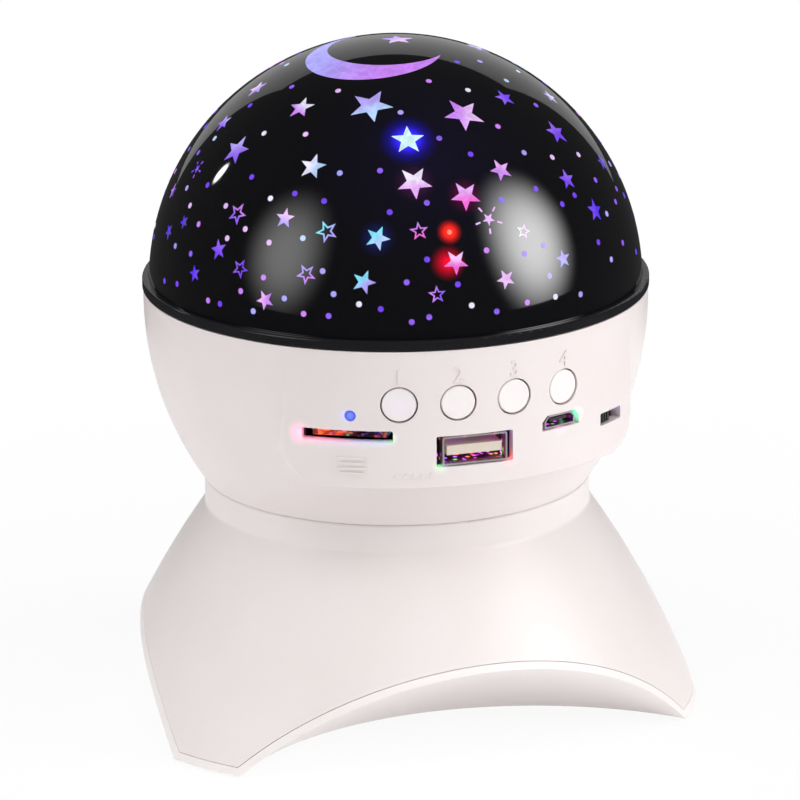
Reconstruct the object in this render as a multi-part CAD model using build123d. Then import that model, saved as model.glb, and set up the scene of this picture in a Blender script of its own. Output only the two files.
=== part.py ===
from build123d import *
import os
from math import cos, degrees, hypot, pi, radians, sin, sqrt, tan

# A bedside star projector: a white base on three feet, a white bowl with the electronics and the
# controls, and a black dome with star-shaped windows that a motor turns on top of it.
# Millimetres, +Z up. The origin is on the dome's axis, on the table. The control panel faces -Y,
# and an angle is measured from there about +Z, so +90 faces +X.

# ---------------------------------------------------------------- sizes that can be set, mm
# Mouldings and fits
wall = 2.2  # bowl and base
seam_gap = 0.1  # parting line between two mouldings that are screwed together
running_gap = 0.3  # between pieces that move past each other
bearing_gap = 0.06  # radial, in the turntable's bearing and the motor's
pilot_gap = 0.02  # radial, round a screw in its pilot hole
loose_gap = 0.25  # radial, round a screw or a lens in a plain hole

# Base
foot_radius = 59.8  # the skirt's edge at the table
skirt_bulge = 1.5  # how far the skirt swells out from a straight cone
shoulder_radius = 38.6
shoulder_height = 41.0
collar_radius = 38.2
collar_cove = 1.0  # how far up it the hollow rounding from the skirt runs
collar_height = 6.5
foot_count = 3
plate_height = 0.6  # the bottom cover's flat plate, above the table
plate_radius = 13.4  # the middle of that plate, inside the arches
arch_height = 20.5
scoop_radius = 89.5  # the ball shape that hollows out each arch
cover_thickness = 1.5
pad_length = 9.0
pad_width = 6.0
pad_recess = 0.5
pad_place = 53.5  # from the axis
cover_screw_place = 42.0  # from the axis
cover_screw_seat = 3.4  # how deep the head sits in the cover
cable_hole_radius = 10.0
tube_wall = 0.6  # the cover's screw tubes are this much wider than a boss

# Battery
cell_radius = 9.2
cell_length = 65.0
cell_axis_height = 30.0
cell_cap_radius = 4.0
cell_cap_height = 0.8
cell_edge = 0.6
saddle_spacing = 40.0
saddle_thickness = 2.0
saddle_width = 22.0
strap_width = 8.0
strap_thickness = 0.8
strap_screw_place = 14.0  # from the cell's axis

# Bowl
bowl_foot_step = 0.1  # its foot is this much wider than the collar
bowl_radius = 49.8
bowl_height = 38.3
bowl_rim_height = 1.8  # the straight band at the top
crease_radius = 0.5
bowl_screw_place = 28.0  # from the axis
bowl_boss_height = 9.0

# Control panel, a raised pad on the bowl's front
panel_setback = 0.05  # its face behind the bowl's rim
panel_half_width = 35.9
panel_below = 16.9  # from the buttons' middle down to its lower edge
panel_corner = 6.6
panel_edge = 0.5
opening_corner = 0.4

# Push buttons
button_radius = 3.35
button_rise = 3.4  # their middle above the main board
button_middle = -0.05  # degrees
button_spacing = 13.3  # degrees
button_travel = 0.8
button_sink = 0.25  # the cap's face below the panel
button_flange = 1.0  # wider than the cap, all round
button_flange_thickness = 1.0
button_edge = 0.3
button_stem_radius = 1.6
button_labels = ["far_left", "left", "right", "far_right"]

# Sockets and slots: angle in degrees, and a drop from the main board's underside
card_angle = -31.75
card_slot_width = 17.9
card_slot_height = 2.3
card_drop = 1.35
card_width = 11.4
card_thickness = 1.1
card_socket_width = 14.6
card_socket_depth = 15.0
card_socket_sheet = 0.4
usb_angle = -2.8
usb_opening_width = 15.5
usb_opening_height = 6.2
usb_drop = 4.6
usb_shell_width = 13.1
usb_shell_height = 5.7
usb_shell_depth = 14.0
usb_sheet = 0.35
usb_leg_length = 4.0
usb_tongue_width = 11.1
usb_tongue_thickness = 1.84
usb_block_length = 2.0  # the moulding that its tongue stands on
charge_angle = 19.2
charge_opening_width = 9.3
charge_opening_height = 3.0
charge_drop = 1.6
charge_shell_width = 7.5
charge_shell_height = 2.5
charge_shell_depth = 5.4
charge_sheet = 0.3
charge_tongue_width = 4.3
charge_tongue_thickness = 0.6
charge_block_length = 1.0  # the moulding that its tongue stands on
socket_sink = 0.5  # the metal mouths behind the panel's face, and the tongues behind the mouths
socket_clearance = 1.2  # between the panel's wall and the sockets that stay behind it
indicator_angle = -30.9
indicator_radius = 1.0
indicator_rise = 1.15  # above the main board

# Power switch
switch_angle = 36.4
switch_slot_width = 7.4
switch_slot_height = 2.5
switch_drop = 4.1
switch_travel = 3.0
switch_knob_width = 3.4
switch_stem_width = 1.4
switch_body_width = 9.0
switch_body_depth = 3.8
switch_body_below = 2.0  # below the slot's middle
switch_stem_height = 1.0
switch_stem_length = 1.7  # inside the housing
switch_knob_sink = 0.6
switch_groove = 0.4
switch_end_gap = 0.5  # between the knob and its slot's end, off

# Main board
board_drop = 9.6  # its underside below the deck
board_thickness = 1.6
board_setback = 2.7  # its edge behind the panel's wall
board_back_edge = 5.0  # in front of the axis
board_tab_width = 16.0
board_tab_back = 4.0  # behind the axis
board_tab_length = 14.0
board_screw_places = [(-26.0, -10.0), (26.0, -10.0), (0.0, -16.0)]
key_switch_width = 6.2
key_switch_depth = 4.3
key_switch_setback = 1.1  # behind the board's edge

# Speaker, at the back
speaker_room = 1.1  # between its rim and the deck
speaker_inset = 13.8  # its front face behind the bowl's rim
speaker_radius = 13.8
speaker_flange = 1.2  # its rim's thickness
speaker_sheet = 0.8  # its basket
speaker_cone_radius = 11.6
speaker_magnet_radius = 8.0
speaker_magnet_depth = 4.0
speaker_basket_depth = 6.0
coil_hole_radius = 3.5
cone_depth = 4.2
cone_sheet = 0.4
cone_edge = 1.2
cap_radius = 4.0
cap_height = 1.6
speaker_screw_place = 16.8
speaker_seat_ring = 2.2
grille_hole_radius = 0.85
grille_pitch = 3.1
grille_rings = 3

# Deck and turntable
deck_drop = 3.6  # its top below the bowl's rim
deck_thickness = 2.4
deck_screw_inset = 3.3  # from the deck's edge
deck_screw_angles = [60.0, 140.0, 220.0, 300.0]
hub_radius = 12.0
hub_bore_radius = 8.0
sleeve_wall = 2.0
turntable_thickness = 1.6
rim_overhang = 0.2  # wider than the bowl
rim_thickness = 0.8
gear_module = 1.0
ring_teeth = 72
pinion_teeth = 12
gear_face = 2.4
gear_rim = 2.6  # outside the ring gear's roots
tooth_backlash = 0.16
tooth_tip = 0.82  # modules above the pitch circle
tooth_root = 1.15  # modules below it
pressure_angle = 20.0

# Motor
motor_angle = 105.0
motor_radius = 12.0
motor_height = 14.0
motor_ear_radius = 3.6
motor_ear_thickness = 1.0
motor_nose_radius = 4.5
motor_nose_height = 1.5
motor_edge = 0.8
shaft_radius = 1.5

# Dome
dome_setback = 1.1  # its radius is this much under the bowl's
mask_thickness = 0.25
dome_wall = 1.5
dome_rise = 0.5  # the dome's centre above the bowl's rim
dome_foot_width = 0.9
dome_foot_height = 0.5
bezel_height = 1.0

# Lamp board, in the middle of the dome
post_flange_radius = 15.0
post_flange_thickness = 1.2
post_radius = 7.0
post_bore_radius = 5.0
post_height = 4.8
post_screw_place = 10.0
lamp_board_radius = 13.0
lamp_board_thickness = 1.2
lamp_chip = 5.0
lamp_chip_height = 1.4
lamp_lens_radius = 1.7
lamp_spacing = 7.8

# Screws, one size throughout
screw_radius = 1.25
head_radius = 2.4
head_height = 1.2
boss_wall = 1.95  # round a screw's hole
cover_screw_length = 12.0
deck_screw_length = 10.0
board_screw_length = 9.0
strap_screw_length = 8.0
speaker_screw_length = 5.5

# Leads
lead_radius = 0.6
lead_spacing = 3.0
lead_bend = 3.0

# Star windows on the dome's front: angle, elevation, size, and the turn of one of its points
front_stars = [
    (-31, 59, 4.4, 0), (8, 55, 4.2, 36), (33, 57, 2.2, 8), (63, 51, 1.9, 48), (-62, 56, 2.8, 32),
    (-100, 56, 2.4, 69), (-96, 45, 2.1, 60), (-77, 41, 3.3, 20), (-16, 49, 3.3, 18),
    (43, 44, 2.8, 5), (-46, 41, 2.8, 16), (12, 39, 2.4, 31), (-15, 38, 3.5, 57),
    (-1, 34, 3.1, 45), (34, 33, 2.2, 10), (58, 32, 1.9, 3), (-91, 33, 1.3, 70),
    (-100, 25, 1.6, 40), (4, 28, 1.3, 50), (-50, 28, 2.1, 19), (-25, 25, 2.5, 68),
    (-6, 19, 2.5, 51), (40, 24, 2.4, 5), (-92, 17, 1.6, 67), (-85, 21, 1.5, 55),
    (-68, 18, 2.1, 39), (-75, 11, 1.7, 38), (-52, 9, 2, 49), (-28, 15, 2.4, 71), (6, 14, 2, 40),
    (23, 16, 1.9, 20), (-65, 27, 2.3, 1), (-38, 26, 2.3, 47), (-60, 15, 2, 69),
    (-42, 16, 2.1, 52), (-11, 12, 1.8, 21), (-14.6, 26.5, 1.9, 23), (13, 24, 1.6, 68),
    (108, 89, 3.3, 40), (90, 69, 2.6, 30),
]  # fmt: skip
back_star_rows = [(14, 9, 2.0), (28, 8, 2.6), (43, 7, 2.2), (58, 5, 3.0)]  # elevation, count, size
back_star_start = 75.0
back_star_end = 245.0
back_star_turn = 23.0  # from each star to the next
star_points = 5
window_depth = 4.0  # of the cutters that open the windows
star_waist = 0.42  # inner radius over outer radius
moon_angle = -64.0
moon_elevation = 82.9
moon_radius = 13.9
moon_bite_radius = 12.2
moon_bite_shift = 4.4

# ---------------------------------------------------------------- places worked out from the sizes
UP = (Align.CENTER, Align.CENTER, Align.MIN)
DOWN = (Align.CENTER, Align.CENTER, Align.MAX)
FAR = 400.0  # larger than the whole lamp

collar_top = shoulder_height + collar_height
bowl_foot_radius = collar_radius + bowl_foot_step
bowl_floor = collar_top + wall
bowl_top = collar_top + bowl_height
bowl_arc_top = bowl_top - bowl_rim_height
foot_angles = [(number + 0.5) * 360 / foot_count for number in range(foot_count)]
arch_angles = [number * 360 / foot_count for number in range(foot_count)]
cover_top = plate_height + cover_thickness
cover_seat = plate_height + cover_screw_seat
boss_radius = screw_radius + boss_wall
pilot_radius = screw_radius + pilot_gap
hole_radius = screw_radius + loose_gap
head_hole_radius = head_radius + loose_gap

panel_radius = bowl_radius - panel_setback
panel_inside = panel_radius - wall
board_radius = panel_inside - board_setback
speaker_seat = bowl_radius - speaker_inset
hole_start, hole_end = panel_inside - wall, panel_radius + wall  # of the bars that cut openings
deck_top = bowl_top - deck_drop
deck_low = deck_top - deck_thickness
board_height = deck_low - board_drop
board_top = board_height + board_thickness
button_height = board_top + button_rise
panel_bottom = button_height - panel_below
indicator_height = board_top + indicator_rise
card_slot_middle = board_height - card_drop
usb_opening_middle = board_height - usb_drop
charge_opening_middle = board_height - charge_drop
switch_slot_middle = board_height - switch_drop
speaker_height = deck_low - speaker_room - speaker_radius
deck_radius = bowl_radius - wall - running_gap
deck_screw_place = deck_radius - deck_screw_inset
rim_radius = bowl_radius + rim_overhang
dome_radius = bowl_radius - dome_setback
turntable_low = bowl_top + running_gap
turntable_top = turntable_low + rim_thickness
web_low = turntable_top - turntable_thickness
gear_low = web_low - gear_face
sleeve_low = deck_top + running_gap
hub_top = turntable_top + running_gap
web_radius = bowl_radius - wall - 2 * running_gap
dome_middle = bowl_top + dome_rise
dome_outside = dome_radius - mask_thickness - loose_gap / 5
dome_inside = dome_outside - dome_wall
post_low = hub_top
lamp_board_low = post_low + post_height

ring_pitch_radius = gear_module * ring_teeth / 2
pinion_pitch_radius = gear_module * pinion_teeth / 2
motor_place = ring_pitch_radius - pinion_pitch_radius
motor_top = deck_low
motor_low = motor_top - motor_height
shaft_low = motor_top - motor_height / 3

key_switch_top = 2 * button_height - board_top
button_angles = [button_middle + (number - 1.5) * button_spacing for number in range(4)]
cap_face = panel_radius - button_sink
flange_front = panel_inside - running_gap
flange_back = flange_front - button_flange_thickness
key_front = board_radius - key_switch_setback
stem_tip = key_front - running_gap
socket_face = panel_radius - socket_sink
socket_front = panel_inside - socket_clearance
switch_rest = (switch_knob_width - switch_slot_width) / 2 + switch_end_gap


# ---------------------------------------------------------------- shapes used by several pieces
def disc(outer, low, high, inner=0.0):
    """A flat round piece about the lamp's axis, with a hole if inner is given."""
    body = Cylinder(outer, high - low, align=UP)
    if inner > 0:
        body -= Cylinder(inner, high - low, align=UP)
    return Pos(0, 0, low) * body


def post(x, y, radius, low, high):
    return Pos(x, y, low) * Cylinder(radius, high - low, align=UP)


def turned(*outline):
    """A solid turned about the lamp's axis from straight lines through (radius, height) points."""
    return revolve(Plane.XZ * make_face(Polyline(*outline, close=True)), Axis.Z)


def peg(radius, start, end, height):
    """A round rod that lies along the lamp's radius, pointing to the front."""
    return Pos(0, -start, height) * Rot(90, 0, 0) * Cylinder(radius, end - start, align=UP)


def back_peg(x, radius, start, end, height):
    """A round rod that points to the back."""
    return Pos(x, start, height) * Rot(-90, 0, 0) * Cylinder(radius, end - start, align=UP)


def bar(width, tall, start, end, height):
    """A straight bar that points to the front, with its middle at the given height."""
    return Pos(0, -(start + end) / 2, height) * Box(width, end - start, tall)


def at_angle(part, angle):
    """Moves a piece made at the front round to its angle."""
    return part.rotate(Axis.Z, angle)


def around(part, angles):
    return [at_angle(part, angle) for angle in angles]


def below(height):
    return Pos(0, 0, height) * Box(FAR, FAR, FAR, align=DOWN)


def above(height):
    return Pos(0, 0, height) * Box(FAR, FAR, FAR, align=UP)


def screw(length):
    """A pan-head screw that points down, with its head's seat at height 0."""
    head = Cylinder(head_radius, head_height, align=UP)
    head = fillet(head.edges().group_by(Axis.Z)[-1], head_height / 2)
    slot_length, slot_width = head_radius * 1.2, head_radius * 0.25
    cross = Box(slot_length, slot_width, head_height, align=UP)
    cross += Box(slot_width, slot_length, head_height, align=UP)
    return head + Cylinder(screw_radius, length, align=DOWN) - Pos(0, 0, head_height / 2) * cross


def lead_pair(routes, bends):
    """Two insulated wires side by side, each one smooth run with rounded turns."""
    wires = []
    for route in routes:
        path = FilletPolyline(*route, radius=bends)
        start = Plane(origin=path @ 0, z_dir=path % 0)
        wires.append(sweep(start * Circle(lead_radius), path=path))
    return Compound(children=wires)


# ---------------------------------------------------------------- base
def skirt_circle():
    """Centre and radius of the arc between the skirt's foot and the shoulder."""
    run, rise = foot_radius - shoulder_radius, shoulder_height
    chord = hypot(run, rise)
    radius = (chord**2 / 4 + skirt_bulge**2) / (2 * skirt_bulge)
    inward = radius - skirt_bulge
    middle_radius, middle_height = (foot_radius + shoulder_radius) / 2, rise / 2
    return middle_radius - inward * rise / chord, middle_height - inward * run / chord, radius


def skirt_radius(height, inset=0.0):
    centre_radius, centre_height, radius = skirt_circle()
    return centre_radius + sqrt((radius - inset) ** 2 - (height - centre_height) ** 2)


def base_form(inset, low, high):
    """The skirt and collar as a solid, inset from its outer face."""
    heights = [low, (low + shoulder_height) / 2, shoulder_height]
    foot, middle, shoulder = [(skirt_radius(height, inset), height) for height in heights]
    neck = collar_radius - inset
    cove = (neck, shoulder_height + collar_cove)
    outline = ThreePointArc(foot, middle, shoulder)
    outline += TangentArc(cove, shoulder, tangent=(0, -1))
    outline += Polyline(cove, (neck, high), (0, high), (0, low), foot)
    return revolve(Plane.XZ * make_face(outline), Axis.Z)


def scoops(extra=0.0):
    """The balls that hollow out the arches, through the plate's edge and each arch's crest."""
    crest = skirt_radius(arch_height)
    run, rise = crest - plate_radius, arch_height
    chord = hypot(run, rise)
    inward = sqrt(scoop_radius**2 - chord**2 / 4)
    place = (crest + plate_radius) / 2 + inward * rise / chord
    depth = rise / 2 - inward * run / chord
    return around(Pos(0, -place, depth) * Sphere(scoop_radius + extra), arch_angles)


def make_base_shell():
    outer = base_form(0, 0, collar_top)
    outer = fillet(outer.edges().group_by(Axis.Z)[-1], crease_radius)
    shell = outer - base_form(wall, -1, collar_top - wall)
    boss = post(0, -cover_screw_place, boss_radius, 0, shoulder_height)
    shell += [part & outer for part in around(boss, foot_angles)]
    shell -= scoops(cover_thickness + seam_gap) + [below(cover_top + seam_gap)]
    tube_top = cover_seat + cover_thickness
    tube_room = post(0, -cover_screw_place, boss_radius + tube_wall + seam_gap, 0, tube_top + seam_gap)
    pilot = post(0, -cover_screw_place, pilot_radius, 0, cover_seat + cover_screw_length)
    bowl_screw_hole = post(0, -bowl_screw_place, hole_radius, shoulder_height, bowl_floor)
    shell -= around(tube_room, foot_angles) + around(pilot, foot_angles)
    shell -= around(bowl_screw_hole, arch_angles)
    shell -= disc(cable_hole_radius, shoulder_height, bowl_floor)
    return shell


def make_bottom_cover():
    outer = base_form(0, 0, collar_top)
    core = above(cover_top) - scoops(cover_thickness)
    cover = outer - scoops() - below(plate_height) - core
    tube = post(0, -cover_screw_place, boss_radius + tube_wall, plate_height, cover_seat + cover_thickness)
    ribs = around(tube, foot_angles)
    for side in (-1, 1):
        saddle = Box(saddle_thickness, saddle_width, cell_axis_height, align=UP)
        ribs.append(Pos(side * saddle_spacing / 2, 0, 0) * saddle)
        ribs.append(post(0, side * strap_screw_place, boss_radius, 0, cell_axis_height))
    cover += [rib - scoops() - below(plate_height) for rib in ribs]
    cell_room = Pos(0, 0, cell_axis_height) * Rot(0, 90, 0)
    cover -= cell_room * Cylinder(cell_radius + seam_gap, cell_length)
    head_room = post(0, -cover_screw_place, head_hole_radius, 0, cover_seat)
    shank_room = post(0, -cover_screw_place, hole_radius, 0, cover_seat + cover_thickness)
    cover -= around(head_room, foot_angles) + around(shank_room, foot_angles)
    pad_room = Pos(0, -pad_place, 0) * foot_pad_form(loose_gap / 2, plate_height + pad_recess)
    cover -= around(pad_room, foot_angles)
    pilot_low = cell_axis_height - strap_screw_length
    for side in (-1, 1):
        cover -= post(0, side * strap_screw_place, pilot_radius, pilot_low, cell_axis_height)
    return cover


def foot_pad_form(extra, high):
    outline = Rot(0, 0, 90) * SlotOverall(pad_length + 2 * extra, pad_width + 2 * extra)
    return extrude(outline, high)


def make_foot_pads():
    pad = foot_pad_form(0, plate_height + pad_recess)
    pad = chamfer(pad.edges().group_by(Axis.Z)[0], plate_height / 3)
    return Compound(children=around(Pos(0, -pad_place, 0) * pad, foot_angles))


def make_cover_screws():
    one = Pos(0, -cover_screw_place, cover_seat) * Rot(180, 0, 0) * screw(cover_screw_length)
    return Compound(children=around(one, foot_angles))


def make_battery_cell():
    cell = Cylinder(cell_radius, cell_length)
    cell = fillet(cell.edges(), cell_edge)
    cell += Pos(0, 0, cell_length / 2) * Cylinder(cell_cap_radius, cell_cap_height, align=UP)
    return Pos(0, 0, cell_axis_height) * Rot(0, 90, 0) * cell


def make_battery_strap():
    inner = cell_radius + loose_gap / 2
    turn = Pos(0, 0, cell_axis_height) * Rot(0, 90, 0)
    band = Cylinder(inner + strap_thickness, strap_width) - Cylinder(inner, strap_width)
    band = (turn * band) & above(cell_axis_height)
    for side in (-1, 1):
        reach = strap_screw_place + head_radius + strap_thickness - inner
        tab = Box(strap_width, reach, strap_thickness, align=UP)
        band += Pos(0, side * (inner + reach / 2), cell_axis_height) * tab
        band -= post(0, side * strap_screw_place, hole_radius, cell_axis_height, FAR)
    return band


def make_strap_screws():
    seat = cell_axis_height + strap_thickness
    places = [Pos(0, side * strap_screw_place, seat) for side in (-1, 1)]
    return Compound(children=[place * screw(strap_screw_length) for place in places])


# ---------------------------------------------------------------- bowl
def bowl_circle():
    """Centre and radius of the arc that rises from the bowl's foot and ends upright."""
    rise, run = bowl_arc_top - collar_top, bowl_radius - bowl_foot_radius
    radius = (rise**2 + run**2) / (2 * run)
    return bowl_radius - radius, radius


def bowl_side(height, inset=0.0):
    centre, radius = bowl_circle()
    drop = max(bowl_arc_top - height, 0)
    return centre + sqrt((radius - inset) ** 2 - drop**2)


def bowl_form(inset, low, high):
    heights = [low, (low + bowl_arc_top) / 2, bowl_arc_top]
    foot, middle, rim = [(bowl_side(height, inset), height) for height in heights]
    outline = ThreePointArc(foot, middle, rim)
    outline += Polyline(rim, (rim[0], high), (0, high), (0, low), foot)
    return revolve(Plane.XZ * make_face(outline), Axis.Z)


def panel_form(inset, edge=0.0):
    """The control panel's raised pad, level with the rim; its sides run straight back."""
    radius, half = panel_radius - inset, panel_half_width - inset
    low, high = panel_bottom + inset, bowl_arc_top
    front = Rectangle(2 * half, high - low)
    front = fillet(front.vertices().group_by(Axis.Y)[0], panel_corner - inset)
    place = Plane(origin=(0, 0, (low + high) / 2), x_dir=(1, 0, 0), z_dir=(0, -1, 0))
    pad = extrude(place * front, FAR) & disc(radius, low, high)
    if edge > 0:
        face = pad.faces().filter_by(GeomType.CYLINDER).sort_by(lambda f: f.area)[-1]
        pad = fillet(face.edges().sort_by(Axis.Z)[:-1], edge)
    return pad


def make_bowl():
    outer = bowl_form(0, collar_top, bowl_top)
    outer = fillet(outer.edges().group_by(Axis.Z)[0], crease_radius)
    outer += panel_form(0, panel_edge)
    bowl = outer - bowl_form(wall, bowl_floor, bowl_top + wall) - panel_form(wall)
    boss_top = collar_top + bowl_boss_height
    bosses = around(post(0, -bowl_screw_place, boss_radius, collar_top, boss_top), arch_angles)
    bosses += [post(x, y, boss_radius, collar_top, board_height) for x, y in board_screw_places]
    column = post(0, -deck_screw_place, boss_radius, collar_top, deck_low)
    bosses += [part & outer for part in around(column, deck_screw_angles) + speaker_seats()]
    bowl += bosses
    pilot_low = board_top - board_screw_length
    pilots = [post(x, y, pilot_radius, pilot_low, board_height) for x, y in board_screw_places]
    pilots += around(post(0, -bowl_screw_place, pilot_radius, collar_top, boss_top), arch_angles)
    pilot_low = deck_top - head_height - deck_screw_length
    pilots += around(post(0, -deck_screw_place, pilot_radius, pilot_low, deck_low), deck_screw_angles)
    bowl -= pilots
    bowl -= disc(cable_hole_radius, collar_top, bowl_floor)
    bowl -= panel_openings() + speaker_openings()
    return bowl


def speaker_seats():
    """A ring on the bowl's back wall that the speaker's rim lies on, and a boss at each side."""
    ring = back_peg(0, speaker_radius, speaker_seat, bowl_radius, speaker_height)
    inner = speaker_radius - speaker_seat_ring
    ring -= back_peg(0, inner, speaker_seat, bowl_radius, speaker_height)
    sides = [side * speaker_screw_place for side in (-1, 1)]
    bosses = [back_peg(x, boss_radius, speaker_seat, bowl_radius, speaker_height) for x in sides]
    return [ring] + bosses


def speaker_openings():
    """The grille, one hole in the middle and rings of six, twelve and so on, and the pilot holes."""
    holes = []
    for ring in range(grille_rings + 1):
        count = max(6 * ring, 1)
        for number in range(count):
            turn = radians(number * 360 / count)
            x, height = ring * grille_pitch * cos(turn), speaker_height + ring * grille_pitch * sin(turn)
            holes.append(back_peg(x, grille_hole_radius, speaker_seat, bowl_radius, height))
    pilot_end = speaker_seat - speaker_flange + speaker_screw_length
    for side in (-1, 1):
        x = side * speaker_screw_place
        holes.append(back_peg(x, pilot_radius, speaker_seat, pilot_end, speaker_height))
    return holes


def mouth(width, tall, height, angle, rounding):
    """An opening through the panel's wall with rounded corners."""
    opening = bar(width, tall, hole_start, hole_end, height)
    return at_angle(fillet(opening.edges().filter_by(Axis.Y), rounding), angle)


def charge_outline(width, tall):
    """A flat-based outline with its upper corners cut, as the charging plug has."""
    cut = tall * 0.4
    half, low, high = width / 2, -tall / 2, tall / 2
    points = [(-half, low), (half, low), (half, high - cut), (half - cut, high)]
    points += [(cut - half, high), (-half, high - cut)]
    return Plane.XZ * make_face(Polyline(*points, close=True))


def charge_bar(width, tall, start, end):
    return Pos(0, -start, charge_opening_middle) * extrude(charge_outline(width, tall), end - start)


def panel_openings():
    key_hole = peg(button_radius + running_gap, hole_start, hole_end, button_height)
    light_hole = peg(indicator_radius + seam_gap, hole_start, hole_end, indicator_height)
    charge_hole = charge_bar(charge_opening_width, charge_opening_height, hole_start, hole_end)
    holes = around(key_hole, button_angles)
    holes.append(at_angle(light_hole, indicator_angle))
    holes.append(at_angle(charge_hole, charge_angle))
    openings = [
        (card_slot_width, card_slot_height, card_slot_middle, card_angle),
        (usb_opening_width, usb_opening_height, usb_opening_middle, usb_angle),
        (switch_slot_width, switch_slot_height, switch_slot_middle, switch_angle),
    ]
    for width, tall, height, angle in openings:
        holes.append(mouth(width, tall, height, angle, opening_corner))
    return holes


def make_bowl_screws():
    turned_up = Pos(0, -bowl_screw_place, collar_top - wall) * Rot(180, 0, 0)
    one = turned_up * screw(bowl_boss_height)
    return Compound(children=around(one, arch_angles))


# ---------------------------------------------------------------- deck, turntable and motor
def make_deck_plate():
    deck = disc(deck_radius, deck_low, deck_top) + disc(hub_radius, deck_low, hub_top)
    deck -= disc(hub_bore_radius, deck_low, hub_top)
    deck -= around(post(0, -deck_screw_place, hole_radius, deck_low, deck_top), deck_screw_angles)
    head_room = post(0, -deck_screw_place, head_hole_radius, deck_top - head_height, deck_top)
    deck -= around(head_room, deck_screw_angles)
    nose_room = post(0, -motor_place, motor_nose_radius + running_gap, deck_low, deck_top)
    deck -= at_angle(nose_room, motor_angle)
    deck -= motor_screw_holes(pilot_radius, deck_low, deck_top)
    post_pilot = post(0, -post_screw_place, pilot_radius, deck_top, hub_top)
    deck -= around(post_pilot, arch_angles)
    return deck


def make_deck_screws():
    one = Pos(0, -deck_screw_place, deck_top - head_height) * screw(deck_screw_length)
    return Compound(children=around(one, deck_screw_angles))


def gear_outline(teeth, sign):
    """A toothed outline; sign is 1 where the teeth point out and -1 where they point in."""
    pitch_radius = gear_module * teeth / 2
    tip = pitch_radius + sign * tooth_tip * gear_module
    root = pitch_radius - sign * tooth_root * gear_module
    half_pitch_tooth = (pi * gear_module / 2 - tooth_backlash) / 2
    lean = tan(radians(pressure_angle))
    half_tip = half_pitch_tooth - tooth_tip * gear_module * lean
    half_root = half_pitch_tooth + tooth_root * gear_module * lean * (0.75 if sign > 0 else 1)
    flanks = [(root, -half_root), (tip, -half_tip), (tip, half_tip), (root, half_root)]
    outline = []
    for tooth in range(teeth):
        middle = (tooth + (0 if sign > 0 else 0.5)) * 360 / teeth - 90
        for radius, half in flanks:
            turn = radians(middle) + half / radius
            outline.append((radius * cos(turn), radius * sin(turn)))
    return make_face(Polyline(*outline, close=True))


def make_turntable():
    bore = hub_radius + bearing_gap
    sleeve = bore + sleeve_wall
    outline = [(bore, sleeve_low), (sleeve, sleeve_low), (sleeve, web_low), (web_radius, web_low)]
    outline += [(web_radius, turntable_low), (rim_radius, turntable_low)]
    outline += [(rim_radius, turntable_top), (bore, turntable_top)]
    table = turned(*outline)
    gear_outside = ring_pitch_radius + tooth_root * gear_module + gear_rim
    ring = Circle(gear_outside) - gear_outline(ring_teeth, -1)
    ring = Pos(0, 0, gear_low) * extrude(ring, gear_face)
    return table + at_angle(ring, motor_angle)


def make_drive_pinion():
    pinion = extrude(gear_outline(pinion_teeth, 1), gear_face - running_gap)
    pinion -= Cylinder(shaft_radius + pilot_gap, gear_face, align=UP)
    return at_angle(Pos(0, -motor_place, gear_low) * pinion, motor_angle)


def make_motor_shaft():
    shaft = post(0, -motor_place, shaft_radius, shaft_low, web_low - running_gap)
    return at_angle(chamfer(shaft.edges().group_by(Axis.Z)[-1], shaft_radius / 8), motor_angle)


def motor_screw_places():
    reach = motor_radius + motor_ear_radius
    return [Pos(side * reach, -motor_place, 0) for side in (-1, 1)]


def motor_screw_holes(radius, low, high):
    hole = post(0, 0, radius, low, high)
    return [at_angle(place * hole, motor_angle) for place in motor_screw_places()]


def make_drive_motor():
    can = fillet(Cylinder(motor_radius, motor_height, align=UP).edges(), motor_edge)
    ears = SlotCenterToCenter(2 * (motor_radius + motor_ear_radius), 2 * motor_ear_radius)
    ear_low = motor_top - motor_ear_thickness
    motor = Pos(0, -motor_place, motor_low) * can
    motor += Pos(0, -motor_place, ear_low) * extrude(ears, motor_ear_thickness)
    motor += post(0, -motor_place, motor_nose_radius, ear_low, motor_top + motor_nose_height)
    motor -= post(0, -motor_place, shaft_radius + bearing_gap, shaft_low - running_gap, FAR)
    motor = at_angle(motor, motor_angle)
    return motor - motor_screw_holes(hole_radius, ear_low, motor_top)


def make_motor_screws():
    seat = motor_top - motor_ear_thickness
    one = Pos(0, 0, seat) * Rot(180, 0, 0) * screw(deck_thickness)
    return Compound(children=[at_angle(place * one, motor_angle) for place in motor_screw_places()])


# ---------------------------------------------------------------- dome
def ball(radius):
    return Pos(0, 0, dome_middle) * Sphere(radius)


def facing(angle, elevation):
    """A plane on the dome's skin, facing straight out."""
    turn, rise = radians(angle), radians(elevation)
    out = Vector(sin(turn) * cos(rise), -cos(turn) * cos(rise), sin(rise))
    origin = Vector(0, 0, dome_middle) + out * (dome_radius - window_depth / 2)
    return Plane(origin=origin, x_dir=(cos(turn), sin(turn), 0), z_dir=out)


def star_outline(size, turned_by):
    corners = []
    for number in range(2 * star_points):
        turn = radians(turned_by + number * 180 / star_points)
        radius = size * (star_waist if number % 2 else 1)
        corners.append((radius * cos(turn), radius * sin(turn)))
    return make_face(Polyline(*corners, close=True))


def back_stars():
    stars = []
    for elevation, count, size in back_star_rows:
        step = (back_star_end - back_star_start) / count
        angles = [back_star_start + (number + 0.5) * step for number in range(count)]
        stars += [(angle, elevation, size, back_star_turn * n) for n, angle in enumerate(angles)]
    return stars


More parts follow.
